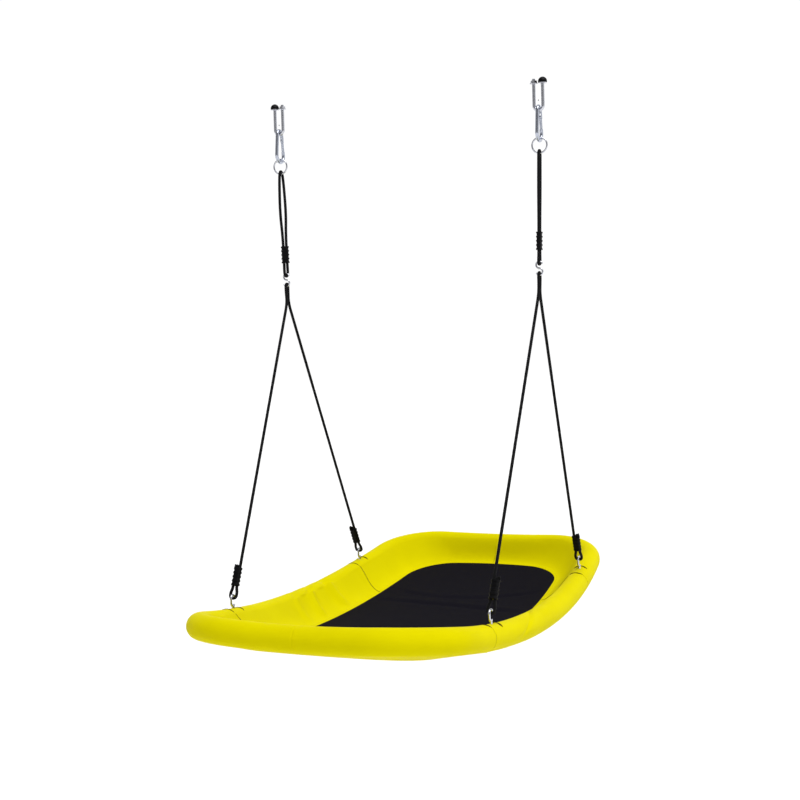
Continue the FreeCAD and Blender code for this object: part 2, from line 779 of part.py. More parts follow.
NUT_DROP = TUBE_R + 1.0
SHANK_DEPTH = size("sleeve_radius") + NUT_DROP + size("hook_nut_height") + 1.0


def eye_hook(side, sign, end, end_sign):
    """An open eye on a threaded shank that passes down through the padding and the steel tube."""
    name = f"{end}_{side}_eye_hook"
    radius, straight = size("eye_radius"), size("eye_straight")
    low_centre = size("eye_stem") + size("eye_wire") / 2 + radius
    high_centre = low_centre + straight
    upright = Rotation(Y_AXIS, 90)
    arcs = []
    for part_name, centre, start, opening in (("_lower", low_centre, -90, 130),
                                              ("_upper", high_centre, 90, 180)):
        arc = primitive("Torus", name + part_name,
                        at(0, 0, centre, upright.multiply(Rotation(Z_AXIS, start))),
                        Radius1="Sizes.eye_radius", Radius2="Sizes.eye_wire / 2")
        arc.Angle3 = opening
        arcs.append(arc)
    bar = primitive("Cylinder", name + "_bar", at(0, -radius, low_centre),
                    Radius="Sizes.eye_wire / 2", Height="Sizes.eye_straight")
    tip = primitive("Sphere", name + "_tip", at(0, radius, high_centre),
                    Radius="Sizes.eye_wire / 2")
    shank = primitive("Cylinder", name + "_shank", at(0, 0, -SHANK_DEPTH),
                      Radius="Sizes.eye_shank / 2")
    shank.Height = SHANK_DEPTH + size("eye_stem") + size("eye_wire") / 2
    node(fuse(name + "_fused", arcs + [bar, tip, shank]), name,
         at(sign * EYE_X, end_sign * size("eye_along"), EYE_BASE_Z))


def hook_nuts():
    """A hexagon nut under the steel tube on each eye hook's shank."""
    z = EYE_BASE_Z - size("sleeve_radius") - NUT_DROP - size("hook_nut_height")
    pieces = [
        hex_nut(f"hook_nut_{end}_{side}", "Sizes.hook_nut_width", "Sizes.hook_nut_height",
                "Sizes.eye_shank", at(sign * EYE_X, end_sign * size("eye_along"), z))
        for side, sign in SIDES for end, end_sign in ENDS
    ]
    node(group("hook_nut_group", pieces), "hook_nuts")


# ---------------------------------------------------------------- frame, foam and cover

TUBE_BORE = TUBE_R - size("tube_wall")
FOAM_R = size("sleeve_radius") - size("sleeve_thick") - CLEARANCE
# the pieces of the frame and of the foam, from one frame joint to the next
FRAME = (("right", -1, 1), ("far", 1, 5), ("left", 5, 7), ("near", 7, 11))
BUTTON_R = 3.2
# the panels of the cover, from seam to seam
SLEEVES = (
    ("right_sleeve", -NEAR_SEAM, FAR_SEAM),
    ("far_right_sleeve", FAR_SEAM, 3),
    ("far_left_sleeve", 3, 6 - FAR_SEAM),
    ("left_sleeve", 6 - FAR_SEAM, 6 + NEAR_SEAM),
    ("near_left_sleeve", 6 + NEAR_SEAM, 9),
    ("near_right_sleeve", 9, 12 - NEAR_SEAM),
)


def hook_drills(radius, above, below):
    """Cylinders down the four eye hooks' axes, from above to below the tube's centreline."""
    return [
        Part.makeCylinder(radius, above + below,
                          Vector(sx * EYE_X, sy * size("eye_along"),
                                 EYE_BASE_Z - size("sleeve_radius") - below), Z_AXIS)
        for _, sx in SIDES for _, sy in ENDS
    ]


def button_place(joint):
    """Where a joint's lock button comes through: on the rim's outer side, in the end tube."""
    step = 0.1 if joint % 6 == 1 else -0.1
    _, outward = RIM.point(joint + step)
    return rim_point(joint + step), outward


def button_drills():
    drills = []
    for _, _, joint in FRAME:
        spot, outward = button_place(joint)
        drills.append(Part.makeCylinder(BUTTON_R + 0.4, 2 * TUBE_R, spot, outward))
    return drills


def frame_tube(name, first, last):
    """A steel tube of the frame, drilled for the eye hooks and the snap buttons."""
    tube = tube_along(rim_path(first, last), TUBE_R, TUBE_BORE)
    tube = tube.cut(hook_drills(size("tube_hole") / 2, 1.5 * TUBE_R, 1.5 * TUBE_R))
    tube = tube.cut(button_drills())
    node(shaped("tube_" + name, tube), name + "_tube")


def foam_sleeve(name, first, last):
    """A foam tube round the steel, with wells for the eye hooks and their nuts."""
    well_radius = size("hook_nut_width") * 0.62
    well_depth = NUT_DROP + size("hook_nut_height") + 2
    foam = tube_along(rim_path(first, last), FOAM_R, TUBE_R + CLEARANCE)
    foam = foam.cut(hook_drills(size("cover_hole") / 2, 1.5 * FOAM_R, 0))
    foam = foam.cut(hook_drills(well_radius, 0, well_depth)).cut(button_drills())
    node(shaped("foam_" + name, foam), name + "_foam")


def spigots():
    """A short inner tube bridges each joint of the frame, and its button locks it to the tube."""
    wall = 1.7
    button_height = 2.5
    pieces = []
    for _, _, joint in FRAME:
        before, after = neighbours(joint, joint)
        outer = TUBE_BORE - CLEARANCE
        sleeve = tube_along(rim_path(before - 1e-6, after + 1e-6), outer, outer - wall)
        spot, outward = button_place(joint)
        button = Part.makeCylinder(BUTTON_R, button_height,
                                   spot + outward * (TUBE_R + 1.5 - 2 * button_height), outward)
        pieces.append(sleeve.fuse(button))
    node(shaped("spigot_group", Part.makeCompound(pieces)), "frame_spigots")


def sleeve_panel(name, first, last):
    """A panel of the cover round the foam, open where the eye hooks come through."""
    skin = tube_along(rim_path(first, last), size("sleeve_radius"),
                      size("sleeve_radius") - size("sleeve_thick"))
    skin = skin.cut(hook_drills(size("cover_hole") / 2, 1.5 * size("sleeve_radius"), 0))
    node(shaped("skin_" + name, skin), name)


def mat_height(y):
    return -size("seat_drop") - size("mat_drop") + size("mat_rise") * (y / size("half_length")) ** 2


def seat_mat():
    """The woven mat: its outline, cut from a slab that curves up to the two ends."""
    half_y = size("mat_half_length") * 1.02
    half_x = size("mat_half_width") * 1.02
    corners = [Vector(-half_x, y, mat_height(y)) for y in (-half_y, 0, half_y)]
    top = Part.Arc(*corners).toShape()
    slab_shape = top.extrude(Vector(2 * half_x, 0, 0)).extrude(Vector(0, 0, -size("mat_thick")))
    edges = []
    for start in range(12):
        places = [MAT.point(start + share)[0] for share in (0, 0.5, 1)]
        edges.append(Part.Arc(*places).toShape())
    outline = Part.Face(Part.Wire(edges))
    outline.translate(Vector(0, 0, -size("seat_drop") - 2 * size("mat_rise")))
    prism = outline.extrude(Vector(0, 0, 4 * size("mat_rise")))
    mat = prism.common(slab_shape)
    if abs(mat.Volume - outline.Area * size("mat_thick")) > 0.05 * mat.Volume:
        raise ValueError(f"the mat's volume is {mat.Volume:.0f}")
    node(shaped("mat", mat.Solids[0]), "seat_mat")


def slope(start, start_run, end, end_run, t):
    """A point of the cubic that leaves the start and reaches the end along the two runs."""
    a = 2 * t ** 3 - 3 * t ** 2 + 1
    return (start * a + start_run * (t ** 3 - 2 * t ** 2 + t) + end * (1 - a)
            + end_run * (t ** 3 - t ** 2))


def border_section(place):
    """The border's V at one place: from the sleeve's top to the mat's edge, and back underneath."""
    reach = size("sleeve_radius") + 4
    leave_top, leave_low = math.radians(38), math.radians(-82)
    leaving_run, arriving_run = 70, 100
    mat_gap = 1.5
    ply = Vector(0, 0, size("border_thick"))
    centre = rim_point(place)
    _, outward = RIM.point(place)
    edge, edge_out = MAT.point(place)
    edge = edge + edge_out * mat_gap
    edge.z = mat_height(edge.y) + (2 * ply.z - size("mat_thick")) / 2
    inward = Vector(edge.x - centre.x, edge.y - centre.y, 0)
    inward.normalize()

    def beside_sleeve(angle):
        # the section crosses the tube askew at the corners, where its outline is an ellipse
        across = math.cos(angle) / -inward.dot(outward)
        return centre + (inward * across + Z_AXIS * math.sin(angle)) * reach

    leaving = (inward * math.sin(leave_top) - Z_AXIS * math.cos(leave_top)) * leaving_run
    top = [slope(beside_sleeve(leave_top), leaving, edge, inward * arriving_run, share)
           for share in (0, 0.25, 0.5, 0.75, 1)]
    low = beside_sleeve(leave_low)
    edge_low = edge - ply * 2
    fold = edge_low + (low - edge_low) * 0.12 + ply * 1.3
    inside = [point - ply for point in reversed(top[:-1])]
    return Part.makePolygon(top + [edge_low, low, low + ply, fold] + inside + top[:1])


def border_panel(name, first, last):
    """A length of the cover's border, between the sleeve and the mat."""
    places = [first] + neighbours(first, last)[2:-2] + [last]
    strip = Part.makeLoft([border_section(place) for place in places], True, True)
    node(shaped("strip_" + name, strip), name + "_border")


# ---------------------------------------------------------------- the whole assembly

def build():
    for side, sign in SIDES:
        u_bolt(side, sign)
        carabiner(side, sign)
        carabiner_gate(side, sign)
        gate_pin(side, sign)
        gate_spring(side, sign)
        ring(side, sign)
        upper_rope(side, sign)
        upper_adjuster(side, sign)
        s_hook(side, sign)
        v_rope(side, sign)
        for end, end_sign in ENDS:
            rope_tail(side, sign, end, end_sign)
            adjuster(f"{end}_{side}_adjuster", Leg(sign, end_sign).placement(ADJUSTER_W))
            knot(side, sign, end, end_sign)
            eye_hook(side, sign, end, end_sign)
    washers()
    node(group("dome_group", [dome_nut(side, sign) for side, sign in SIDES]), "dome_nuts")
    lock_nuts()
    hook_nuts()
    for name, first, last in FRAME:
        frame_tube(name, first, last)
        foam_sleeve(name, first, last)
    spigots()
    for name, first, last in SLEEVES:
        sleeve_panel(name, first, last)
    seat_mat()
    for name, first, last in (("right", -NEAR_SEAM, FAR_SEAM), ("far", FAR_SEAM, 6 - FAR_SEAM),
                              ("left", 6 - FAR_SEAM, 6 + NEAR_SEAM),
                              ("near", 6 + NEAR_SEAM, 12 - NEAR_SEAM)):
        border_panel(name, first, last)


build()
doc.recompute()
bad = [thing.Label for thing in doc.Objects if {"Invalid", "Error"} & set(thing.State)]
bad += [part.Label for part in NODES if part.Shape.isNull() or not part.Shape.isValid()]
if bad:
    raise ValueError("these failed: " + ", ".join(bad))
os.makedirs("parts", exist_ok=True)
for part in NODES:
    part.Shape.exportStep(f"parts/{part.Label}.step")
print(len(NODES), "nodes written")
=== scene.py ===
"""Looks of the platform swing: a padded yellow seat on two V ropes, hung from two U-bolts.

Everything is in metres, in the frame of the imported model: +X along the beam, +Y along the seat,
+Z up. The origin is on the plane of the beam's underside, midway between the two U-bolts.
"""

import math

import bpy
from mathutils import Matrix, Vector, noise


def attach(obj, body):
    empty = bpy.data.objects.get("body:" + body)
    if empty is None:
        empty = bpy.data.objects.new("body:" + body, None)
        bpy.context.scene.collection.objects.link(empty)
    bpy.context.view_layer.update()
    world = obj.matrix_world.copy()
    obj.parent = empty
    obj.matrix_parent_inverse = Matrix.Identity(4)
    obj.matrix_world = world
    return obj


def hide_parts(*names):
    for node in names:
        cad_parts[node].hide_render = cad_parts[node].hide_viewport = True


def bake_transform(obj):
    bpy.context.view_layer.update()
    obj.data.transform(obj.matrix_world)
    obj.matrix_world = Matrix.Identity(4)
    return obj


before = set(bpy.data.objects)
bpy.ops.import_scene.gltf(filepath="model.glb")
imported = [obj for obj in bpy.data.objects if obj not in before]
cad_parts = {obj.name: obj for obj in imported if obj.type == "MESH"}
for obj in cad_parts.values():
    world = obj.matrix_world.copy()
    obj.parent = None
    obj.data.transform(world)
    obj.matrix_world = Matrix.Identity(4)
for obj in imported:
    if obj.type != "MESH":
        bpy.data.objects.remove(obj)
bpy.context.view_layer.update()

SIDES = (("left", -1), ("right", 1))
ENDS = (("near", -1), ("far", 1))
Z_AXIS = Vector((0, 0, 1))


def link(thing):
    """Puts a new object in the scene."""
    bpy.context.scene.collection.objects.link(thing)
    return thing


# ---------------------------------------------------------------- camera, floor and light

def add_camera():
    """A 61 mm lens beyond the near right corner, turned to the left and a little down."""
    data = bpy.data.cameras.new("camera")
    data.lens = 61.13
    data.sensor_width = 36
    data.clip_end = 60
    yaw, pitch, roll = -0.4008, -0.0476, -0.0278
    forward = Vector((math.sin(yaw) * math.cos(pitch), math.cos(yaw) * math.cos(pitch),
                      math.sin(pitch)))
    level = Vector((math.cos(yaw), -math.sin(yaw), 0))
    right = level * math.cos(roll) + level.cross(forward) * math.sin(roll)
    up = level.cross(forward) * math.cos(roll) - level * math.sin(roll)
    turn = Matrix((right, up, -forward)).transposed().to_4x4()
    stand = (1.4483, -3.4998, -0.6141)
    camera = link(bpy.data.objects.new("camera", data))
    camera.matrix_world = Matrix.Translation(stand) @ turn
    bpy.context.scene.camera = camera


# ---------------------------------------------------------------- the routes of the ropes

ROPE_R = 0.004
ROPE_SIDES, ROPE_STEP = 24, 0.0014      # of the ropes' meshes
HANG_X = 0.388                          # a side's U-bolt, carabiner and ring
SNAP_LOW_Z = -0.108                     # the carabiner's lower end, where the lean starts
RING_TOP_Z = -0.134                     # the upper rope's top, in the ring
LINK_TOP_Z = -0.428                     # the S-hook's upper bend
LINK_LOW_Z = -0.464                     # and its lower bend
WRAP = 0.007                            # from a bent wire's middle to the middle of a rope on it
HOLE = 0.005                            # an adjuster's holes are this far from its middle
EYE_X, EYE_Y, EYE_Z = 0.359387, 0.402, -1.29684     # the far right eye hook's eye
SPLIT_Y, SPLIT_Z = 0.0047, -0.512       # where a V rope's legs part below the S-hook
UPPER_MID_Z = -0.373                    # the upper adjuster's middle
LOOP_R = 0.008                          # from the eye's wire to the middle of the rope round it
# heights above the eye's middle, up along a leg
WIRE_W = 0.010
ADJUSTER_W = 0.037
KNOT_W = 0.0855


def lean_x(z):
    """How far out a rope hangs at a height: it leans in from the ring to the eye hooks."""
    return HANG_X - (HANG_X - EYE_X) / (SNAP_LOW_Z - EYE_Z) * (SNAP_LOW_Z - z)


class Leg:
    """One leg of a V rope. u is across the rope, in the loop's plane, and w is up along it."""

    def __init__(self, sign_x, sign_y):
        self.eye = Vector((sign_x * EYE_X, sign_y * EYE_Y, EYE_Z))
        self.split = Vector((sign_x * lean_x(SPLIT_Z), sign_y * SPLIT_Y, SPLIT_Z))
        self.across = Vector((sign_x, 0, 0))
        self.up = (self.split - self.eye).normalized()
        # up depends on across and across on up, so both are settled in a few turns
        for _ in range(5):
            self.across = (self.across - self.up * self.across.dot(self.up)).normalized()
            self.up = (self.split - self.eye + self.across * HOLE).normalized()

    def point(self, u, w):
        return self.eye + self.across * u + self.up * w


def loop_points():
    """Half of the loop round an eye hook, from its lowest point to the adjuster, as (u, w)."""
    low = WIRE_W - LOOP_R
    return [(0, low), (LOOP_R + 0.0005, low), (LOOP_R + 0.0015, WIRE_W + 0.008),
            (HOLE, ADJUSTER_W - 0.006)]


def v_route(sign):
    """From the near eye hook over the S-hook to the far eye hook."""
    near, far = Leg(sign, -1), Leg(sign, 1)
    x = sign * lean_x(LINK_LOW_Z)
    top, low = LINK_LOW_Z + WRAP, LINK_LOW_Z - 2 * WRAP
    route = [near.point(-u, w) for u, w in loop_points()] + straight_leg(near)
    route += [Vector((x, -WRAP, low)), Vector((x, -WRAP, top)),
              Vector((x, WRAP, top)), Vector((x, WRAP, low))]
    route += reversed(straight_leg(far))
    return route + [far.point(-u, w) for u, w in reversed(loop_points())]


def straight_leg(leg):
    """From above the adjuster to the split; the middle point keeps the taut run straight."""
    start = leg.point(-HOLE, ADJUSTER_W + 0.026)
    return [start, leg.split + (start - leg.split).normalized() * 0.048, leg.split]


def tail_route(leg):
    """From the eye hook's lowest point up through the adjuster to the knot."""
    return [leg.point(u, w) for u, w in loop_points()] + [leg.point(HOLE, KNOT_W)]


def upper_route(side, sign):
    """A closed loop from the ring to the S-hook; its ends meet inside the adjuster.

    A point is (across the loop, along the seat, height above the adjuster's middle).
    """
    if side == "left":
        strand = [(HOLE, 0, 0), (HOLE, 0, 0.055), (0.009, 0.001, 0.118), (0.0035, 0.0065, 0.203)]
        foot = [(HOLE, 0, -0.029), (0.0022, 0.0064, -0.051)]
    else:
        strand = [(0, HOLE, 0), (0, HOLE, 0.055), (0.0005, 0.006, 0.133), (0, 0.0073, 0.203)]
        foot = [(0, HOLE, -0.029), (0, 0.007, -0.051)]
    low = LINK_TOP_Z - WRAP - UPPER_MID_Z
    half = strand + [(0, WRAP, RING_TOP_Z - UPPER_MID_Z)]
    route = half + [(-a, -b, rise) for a, b, rise in reversed(half)][:-1]
    route += [(-a, -b, rise) for a, b, rise in foot]
    route += [(0, -WRAP, low), (0, WRAP, low)]
    route += reversed(foot)
    route.append((strand[0][0], strand[0][1], -0.001))
    return [Vector((sign * lean_x(UPPER_MID_Z + rise) + across, along, UPPER_MID_Z + rise))
            for across, along, rise in route]


def smooth_line(route):
    """The points of the route's NURBS spline, which has the route as its control points."""
    data = bpy.data.curves.new("route", "CURVE")
    data.dimensions = "3D"
    data.resolution_u = 40
    spline = data.splines.new("NURBS")
    spline.points.add(len(route) - 1)
    for control, spot in zip(spline.points, route):
        control.co = (*spot, 1)
    spline.order_u = 3
    spline.use_endpoint_u = True
    helper = link(bpy.data.objects.new("route", data))
    mesh = bpy.data.meshes.new_from_object(helper)
    line = [vertex.co.copy() for vertex in mesh.vertices]
    bpy.data.objects.remove(helper)
    bpy.data.curves.remove(data)
    bpy.data.meshes.remove(mesh)
    return line


def evenly(line, step):
    """The same line as points a step apart."""
    lengths = [0.0]
    for a, b in zip(line, line[1:]):
        lengths.append(lengths[-1] + (b - a).length)
    count = max(2, round(lengths[-1] / step))
    points = []
    i = 0
    for k in range(count + 1):
        goal = lengths[-1] * k / count
        while i < len(line) - 2 and lengths[i + 1] < goal:
            i += 1
        run = lengths[i + 1] - lengths[i]
        points.append(line[i].lerp(line[i + 1], (goal - lengths[i]) / run if run else 0))
    return points


# ---------------------------------------------------------------- meshes

def mesh_piece(name, verts, faces, uvs=None, smooth=True):
    """A mesh object, with one UV pair for each vertex if given."""
    mesh = bpy.data.meshes.new(name)
    mesh.from_pydata([tuple(v) for v in verts], [], faces)
    if uvs:
        layer = mesh.uv_layers.new(name="weave")
        for loop in mesh.loops:
            layer.data[loop.index].uv = uvs[loop.vertex_index]
    mesh.polygons.foreach_set("use_smooth", [smooth] * len(mesh.polygons))
    mesh.update()
    return link(bpy.data.objects.new(name, mesh))


BRAID_PITCH = 0.012
BRAID_BUMPS = 8
BRAID_RELIEF = 0.00022


def tube_mesh(name, line, radius, sides, relief=0.0):
    """A round tube along a line, closed at its ends, with the low bumps of a braid."""
    verts, uvs, faces = [], [], []
    side_axis = None
    travelled = 0.0
    for i, centre in enumerate(line):
        ahead = line[min(i + 1, len(line) - 1)] - line[max(i - 1, 0)]
        along = ahead.normalized()
        if side_axis is None:
            side_axis = along.orthogonal()
        side_axis = (side_axis - along * side_axis.dot(along)).normalized()
        other = along.cross(side_axis)
        if i:
            travelled += (centre - line[i - 1]).length
        for j in range(sides):
            angle = 2 * math.pi * j / sides
            lengthways = math.cos(4 * math.pi * travelled / BRAID_PITCH)
            bump = lengthways * math.cos(BRAID_BUMPS * angle)
            reach = radius + relief * bump
            verts.append(centre + (side_axis * math.cos(angle) + other * math.sin(angle)) * reach)
            uvs.append((travelled, angle * radius))
    for i in range(len(line) - 1):
        for j in range(sides):
            k = (j + 1) % sides
            a, b = i * sides, (i + 1) * sides
            faces.append((a + j, a + k, b + k, b + j))
    faces.append(tuple(reversed(range(sides))))
    faces.append(tuple(range(len(verts) - sides, len(verts))))
    return mesh_piece(name, verts, faces, uvs)


def thicken(piece, thickness):
    """Gives a sheet its thickness, on the side away from its normals, with crisp edges."""
    solid = piece.modifiers.new("thickness", "SOLIDIFY")
    solid.thickness = thickness
    solid.offset = -1
    graph = bpy.context.evaluated_depsgraph_get()
    thick = bpy.data.meshes.new_from_object(piece.evaluated_get(graph),
                                            preserve_all_data_layers=True, depsgraph=graph)
    piece.modifiers.clear()
    thin, piece.data = piece.data, thick
    bpy.data.meshes.remove(thin)
    thick.name = piece.name
    thick.set_sharp_from_angle(angle=math.radians(50))
    return piece


# ---------------------------------------------------------------- materials

class Shader:
    """A Principled material and short ways to add nodes to it."""

    def __init__(self, name, colour, roughness, metallic=0.0, **sockets):
        self.material = bpy.data.materials.new(name)
        self.material.use_nodes = True
        self.tree = self.material.node_tree
        self.surface = self.tree.nodes["Principled BSDF"]
        self.set(self.surface, **{"Base Color": (*colour, 1), "Roughness": roughness,
                                  "Metallic": metallic, **sockets})
        self.bumps = None

    def set(self, node, **inputs):
        """Links the inputs that are sockets and sets the ones that are values."""
        for key, value in inputs.items():
            if isinstance(value, bpy.types.NodeSocket):
                self.tree.links.new(value, node.inputs[key])
            else:
                node.inputs[key].default_value = value
        return node

    def node(self, kind, **inputs):
        """A new node, by its type without the ShaderNode in front."""
        return self.set(self.tree.nodes.new("ShaderNode" + kind), **inputs)

    def coordinates(self, kind="Object", scale=(1, 1, 1), turn=0.0):
        source = self.node("TexCoord").outputs[kind]
        return self.node("Mapping", Vector=source, Scale=scale, Rotation=(0, 0, turn)).outputs[0]

    def noise(self, vector, scale, detail=2.0, roughness=0.5):
        made = self.node("TexNoise", Vector=vector, Scale=scale, Detail=detail,
                         Roughness=roughness)
        return made.outputs["Fac"]

    def wave(self, vector, period, direction="X", distortion=0.0):
        """Parallel ridges of a real period in metres."""
        made = self.node("TexWave", Vector=vector, Scale=math.pi / 10 / period,
                         Distortion=distortion)
        made.bands_direction = direction
        return made.outputs["Fac"]

    def math(self, operation, a, b):
        """The result of a Math node on two numbers or sockets."""
        made = self.node("Math")
        made.operation = operation
        for socket, value in zip(made.inputs, (a, b)):
            if isinstance(value, bpy.types.NodeSocket):
                self.tree.links.new(value, socket)
            else:
                socket.default_value = value
        return made.outputs[0]

    def ramp(self, factor, low, high, start=0.0, end=1.0):
        """A colour that goes from low to high as the factor goes from start to end."""
        made = self.node("ValToRGB", Fac=factor)
        for element, position, colour in zip(made.color_ramp.elements, (start, end), (low, high)):
            element.position = position
            element.color = (*colour, 1)
        return made.outputs["Color"]

    def bump(self, height, distance, strength=1.0):
        """Adds relief of a real height in metres on top of what is there."""
        inputs = {"Height": height, "Distance": distance, "Strength": strength}
        if self.bumps:
            inputs["Normal"] = self.bumps
        self.bumps = self.node("Bump", **inputs).outputs["Normal"]
        self.set(self.surface, Normal=self.bumps)

    def vary(self, socket, factor, low, high):
        """Drives a number of the surface from low to high."""
        made = self.node("MapRange", Value=factor)
        made.inputs["To Min"].default_value = low
        made.inputs["To Max"].default_value = high
        self.set(self.surface, **{socket: made.outputs["Result"]})


def weave_height(shader, pitch):
    """A plain weave: two sets of threads that pass over each other, on the piece's own UVs."""
    uv = shader.coordinates("UV")
    warp = shader.wave(uv, pitch, "X")
    weft = shader.wave(uv, pitch, "Y")
    return shader.math("MAXIMUM", warp, weft)


def yellow_fabric():
    """A coated polyester cloth: fine weave under a smooth skin, with faint handling marks."""
    bright = (0.72, 0.640, 0.0004)
    dull = (0.685, 0.605, 0.0004)
    shader = Shader("cover_cloth", bright, 0.6, **{"Specular IOR Level": 0.01,
                                                   "Specular Tint": (1.0, 0.9, 0.1, 1)})
    broad = shader.noise(shader.coordinates(), 7.0, 4.0, 0.6)
    shader.set(shader.surface, **{"Base Color": shader.ramp(broad, dull, bright, 0.3, 0.6)})
    shader.vary("Roughness", shader.noise(shader.coordinates(), 40.0, 3.0), 0.45, 0.62)
    shader.bump(shader.noise(shader.coordinates(), 22.0, 3.0), 0.0006, 0.4)
    shader.bump(weave_height(shader, 0.0009), 0.00012, 0.6)
    return shader.material


def mat_fabric():
    """Close black mesh cloth, with painted shade between its threads and a painted highlight that
    makes it slightly paler on top of them.
    """
    shader = Shader("mat_mesh", (0.007, 0.0066, 0.0098), 0.9, **{"Specular IOR Level": 0.02})
    weave = weave_height(shader, 0.0016)
    # painted shade and highlight: darker in the hollows between the threads, paler on their crests
    threads = shader.ramp(weave, (0.0035, 0.0032, 0.0052), (0.0095, 0.0088, 0.0138), 0.2, 0.9)
    shader.set(shader.surface, **{"Base Color": threads})
    shader.bump(shader.noise(shader.coordinates(), 9.0, 3.0), 0.002, 0.4)
    shader.bump(weave, 0.0004, 0.8)
    shader.vary("Roughness", shader.noise(shader.coordinates(), 30.0), 0.8, 0.95)
    return shader.material


def rope_fibre():
    """Black braided polypropylene: slanted yarns over the braid's bumps, with painted shade in the
    grooves between the yarns and a painted highlight that makes their crests paler.
    """
    shader = Shader("rope_braid", (0.004, 0.004, 0.005), 0.7, **{"Specular IOR Level": 0.12})
    lay, yarn = math.radians(35), 0.0011
    one = shader.wave(shader.coordinates("UV", turn=lay), yarn, distortion=0.4)
    two = shader.wave(shader.coordinates("UV", turn=-lay), yarn, distortion=0.4)
    yarns = shader.math("MAXIMUM", one, two)
    # painted shade and highlight: darker in the grooves between the yarns, paler on their crests
    shader.set(shader.surface,
               **{"Base Color": shader.ramp(yarns, (0.0012, 0.0012, 0.0016), (0.006, 0.006, 0.0072),
                                            0.2, 0.95)})
    shader.bump(yarns, 0.0004, 0.8)
    return shader.material


def black_plastic(name, roughness):
    """Moulded nylon with a fine eggshell grain and rubbed, slightly paler high spots."""
    shader = Shader(name, (0.004, 0.004, 0.005), roughness, **{"Specular IOR Level": 0.1})
    place = shader.coordinates()
    rubbed = shader.noise(place, 90.0, 4.0, 0.7)
    shader.set(shader.surface, **{"Base Color": shader.ramp(rubbed, (0.0022, 0.0022, 0.003),
                                                            (0.007, 0.007, 0.008), 0.4, 0.75)})
    shader.vary("Roughness", rubbed, roughness - 0.08, roughness + 0.12)
    shader.bump(shader.noise(place, 1400.0, 2.0), 0.00008, 0.5)
    return shader.material


def bright_steel(name, tint, roughness):
    """Zinc-plated steel: a mottled plating with a fine grain and soft dull patches."""
    shader = Shader(name, tint, roughness, 1.0)
    place = shader.coordinates()
    patches = shader.noise(place, 120.0, 5.0, 0.65)
    dull = tuple(0.84 * c for c in tint)
    shader.set(shader.surface, **{"Base Color": shader.ramp(patches, dull, tint, 0.3, 0.55)})
    shader.vary("Roughness", patches, roughness + 0.10, roughness - 0.05)
    shader.bump(shader.noise(place, 500.0, 2.0), 0.00002, 0.3)
    return shader.material


def sewing_thread(name, colour):
    """Matt thread with a fibrous grain."""
    shader = Shader(name, colour, 0.8, **{"Specular IOR Level": 0.1})
    place = shader.coordinates()
    low = tuple(0.6 * c for c in colour)
    shader.set(shader.surface, **{"Base Color": shader.ramp(shader.noise(place, 900.0, 3.0),
                                                            low, colour, 0.35, 0.6)})
    shader.bump(shader.noise(place, 1500.0), 0.0002, 0.6)
    return shader.material


def dress(thing, finish):
    """Gives a piece one material in every slot."""
    if thing.data.materials:
        for slot in range(len(thing.data.materials)):
            thing.data.materials[slot] = finish
    else:
        thing.data.materials.append(finish)
    return thing


# ---------------------------------------------------------------- the ropes as pieces

def trefoil(leg):
    """The small stopper knot at a tail's end: a tight overhand turn of the rope."""
    size, flatness, steps = 0.0023, 0.62, 72
    centre = leg.point(HOLE + 0.0016, KNOT_W + 0.0045)
    depth = leg.across.cross(leg.up)
    line = []
    for k in range(steps + 1):
        t = 2 * math.pi * k / steps
        x = math.sin(t) + 2 * math.sin(2 * t)
        y = math.cos(t) - 2 * math.cos(2 * t)
        z = -math.sin(3 * t)
        line.append(centre + (leg.across * x + depth * y) * size * flatness + leg.up * z * size)
    return line


def rope_piece(name, node, route, fibre):
    """A braided rope along a route that stands for a CAD rope, and its line."""
    line = evenly(smooth_line(route), ROPE_STEP)
    rope = tube_mesh(name, line, ROPE_R, ROPE_SIDES, BRAID_RELIEF)
    dress(rope, fibre)
    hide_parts(node)
    return rope, line


def add_ropes():
    """On each side, two tails with their knots, the V rope and the upper loop."""
    fibre = rope_fibre()
    for side, sign in SIDES:
        for end, end_sign in ENDS:
            leg = Leg(sign, end_sign)
            knot = tube_mesh(f"{end}_{side}_stopper_knot", trefoil(leg), 0.0024, 12)
            dress(knot, fibre)
            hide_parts(f"{end}_{side}_knot")
            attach(knot, f"{end}_{side}_slider")
            tail, line = rope_piece(f"{end}_{side}_rope_tail", f"{end}_{side}_tail",
                                    tail_route(leg), fibre)
            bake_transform(tail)
        rope, line = rope_piece(f"{side}_v_rope_braid", f"{side}_v_rope", v_route(sign), fibre)
        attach(rope, f"{side}_legs")
        loop, line = rope_piece(f"{side}_upper_rope_braid", f"{side}_upper_rope",
                                upper_route(side, sign), fibre)
        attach(loop, f"{side}_loop")


# ---------------------------------------------------------------- the rim and its cover

SEAT_Z = -1.381
HALF_LENGTH = 0.730
HALF_WIDTH = 0.3745
RIM_RISE = 0.092                        # from the middle of the sides to the ends
RIM_DIP = 0.022                         # how far the middle of an end stays below that
MAT_HALF_WIDTH = 0.266
MAT_DROP = 0.046                        # the mat's middle below SEAT_Z
MAT_RISE = 0.080
SLEEVE_R = 0.032
SEAM_OFFSET = 0.040                     # along the seat, from an eye hook
SLIT_OFFSET = 0.022


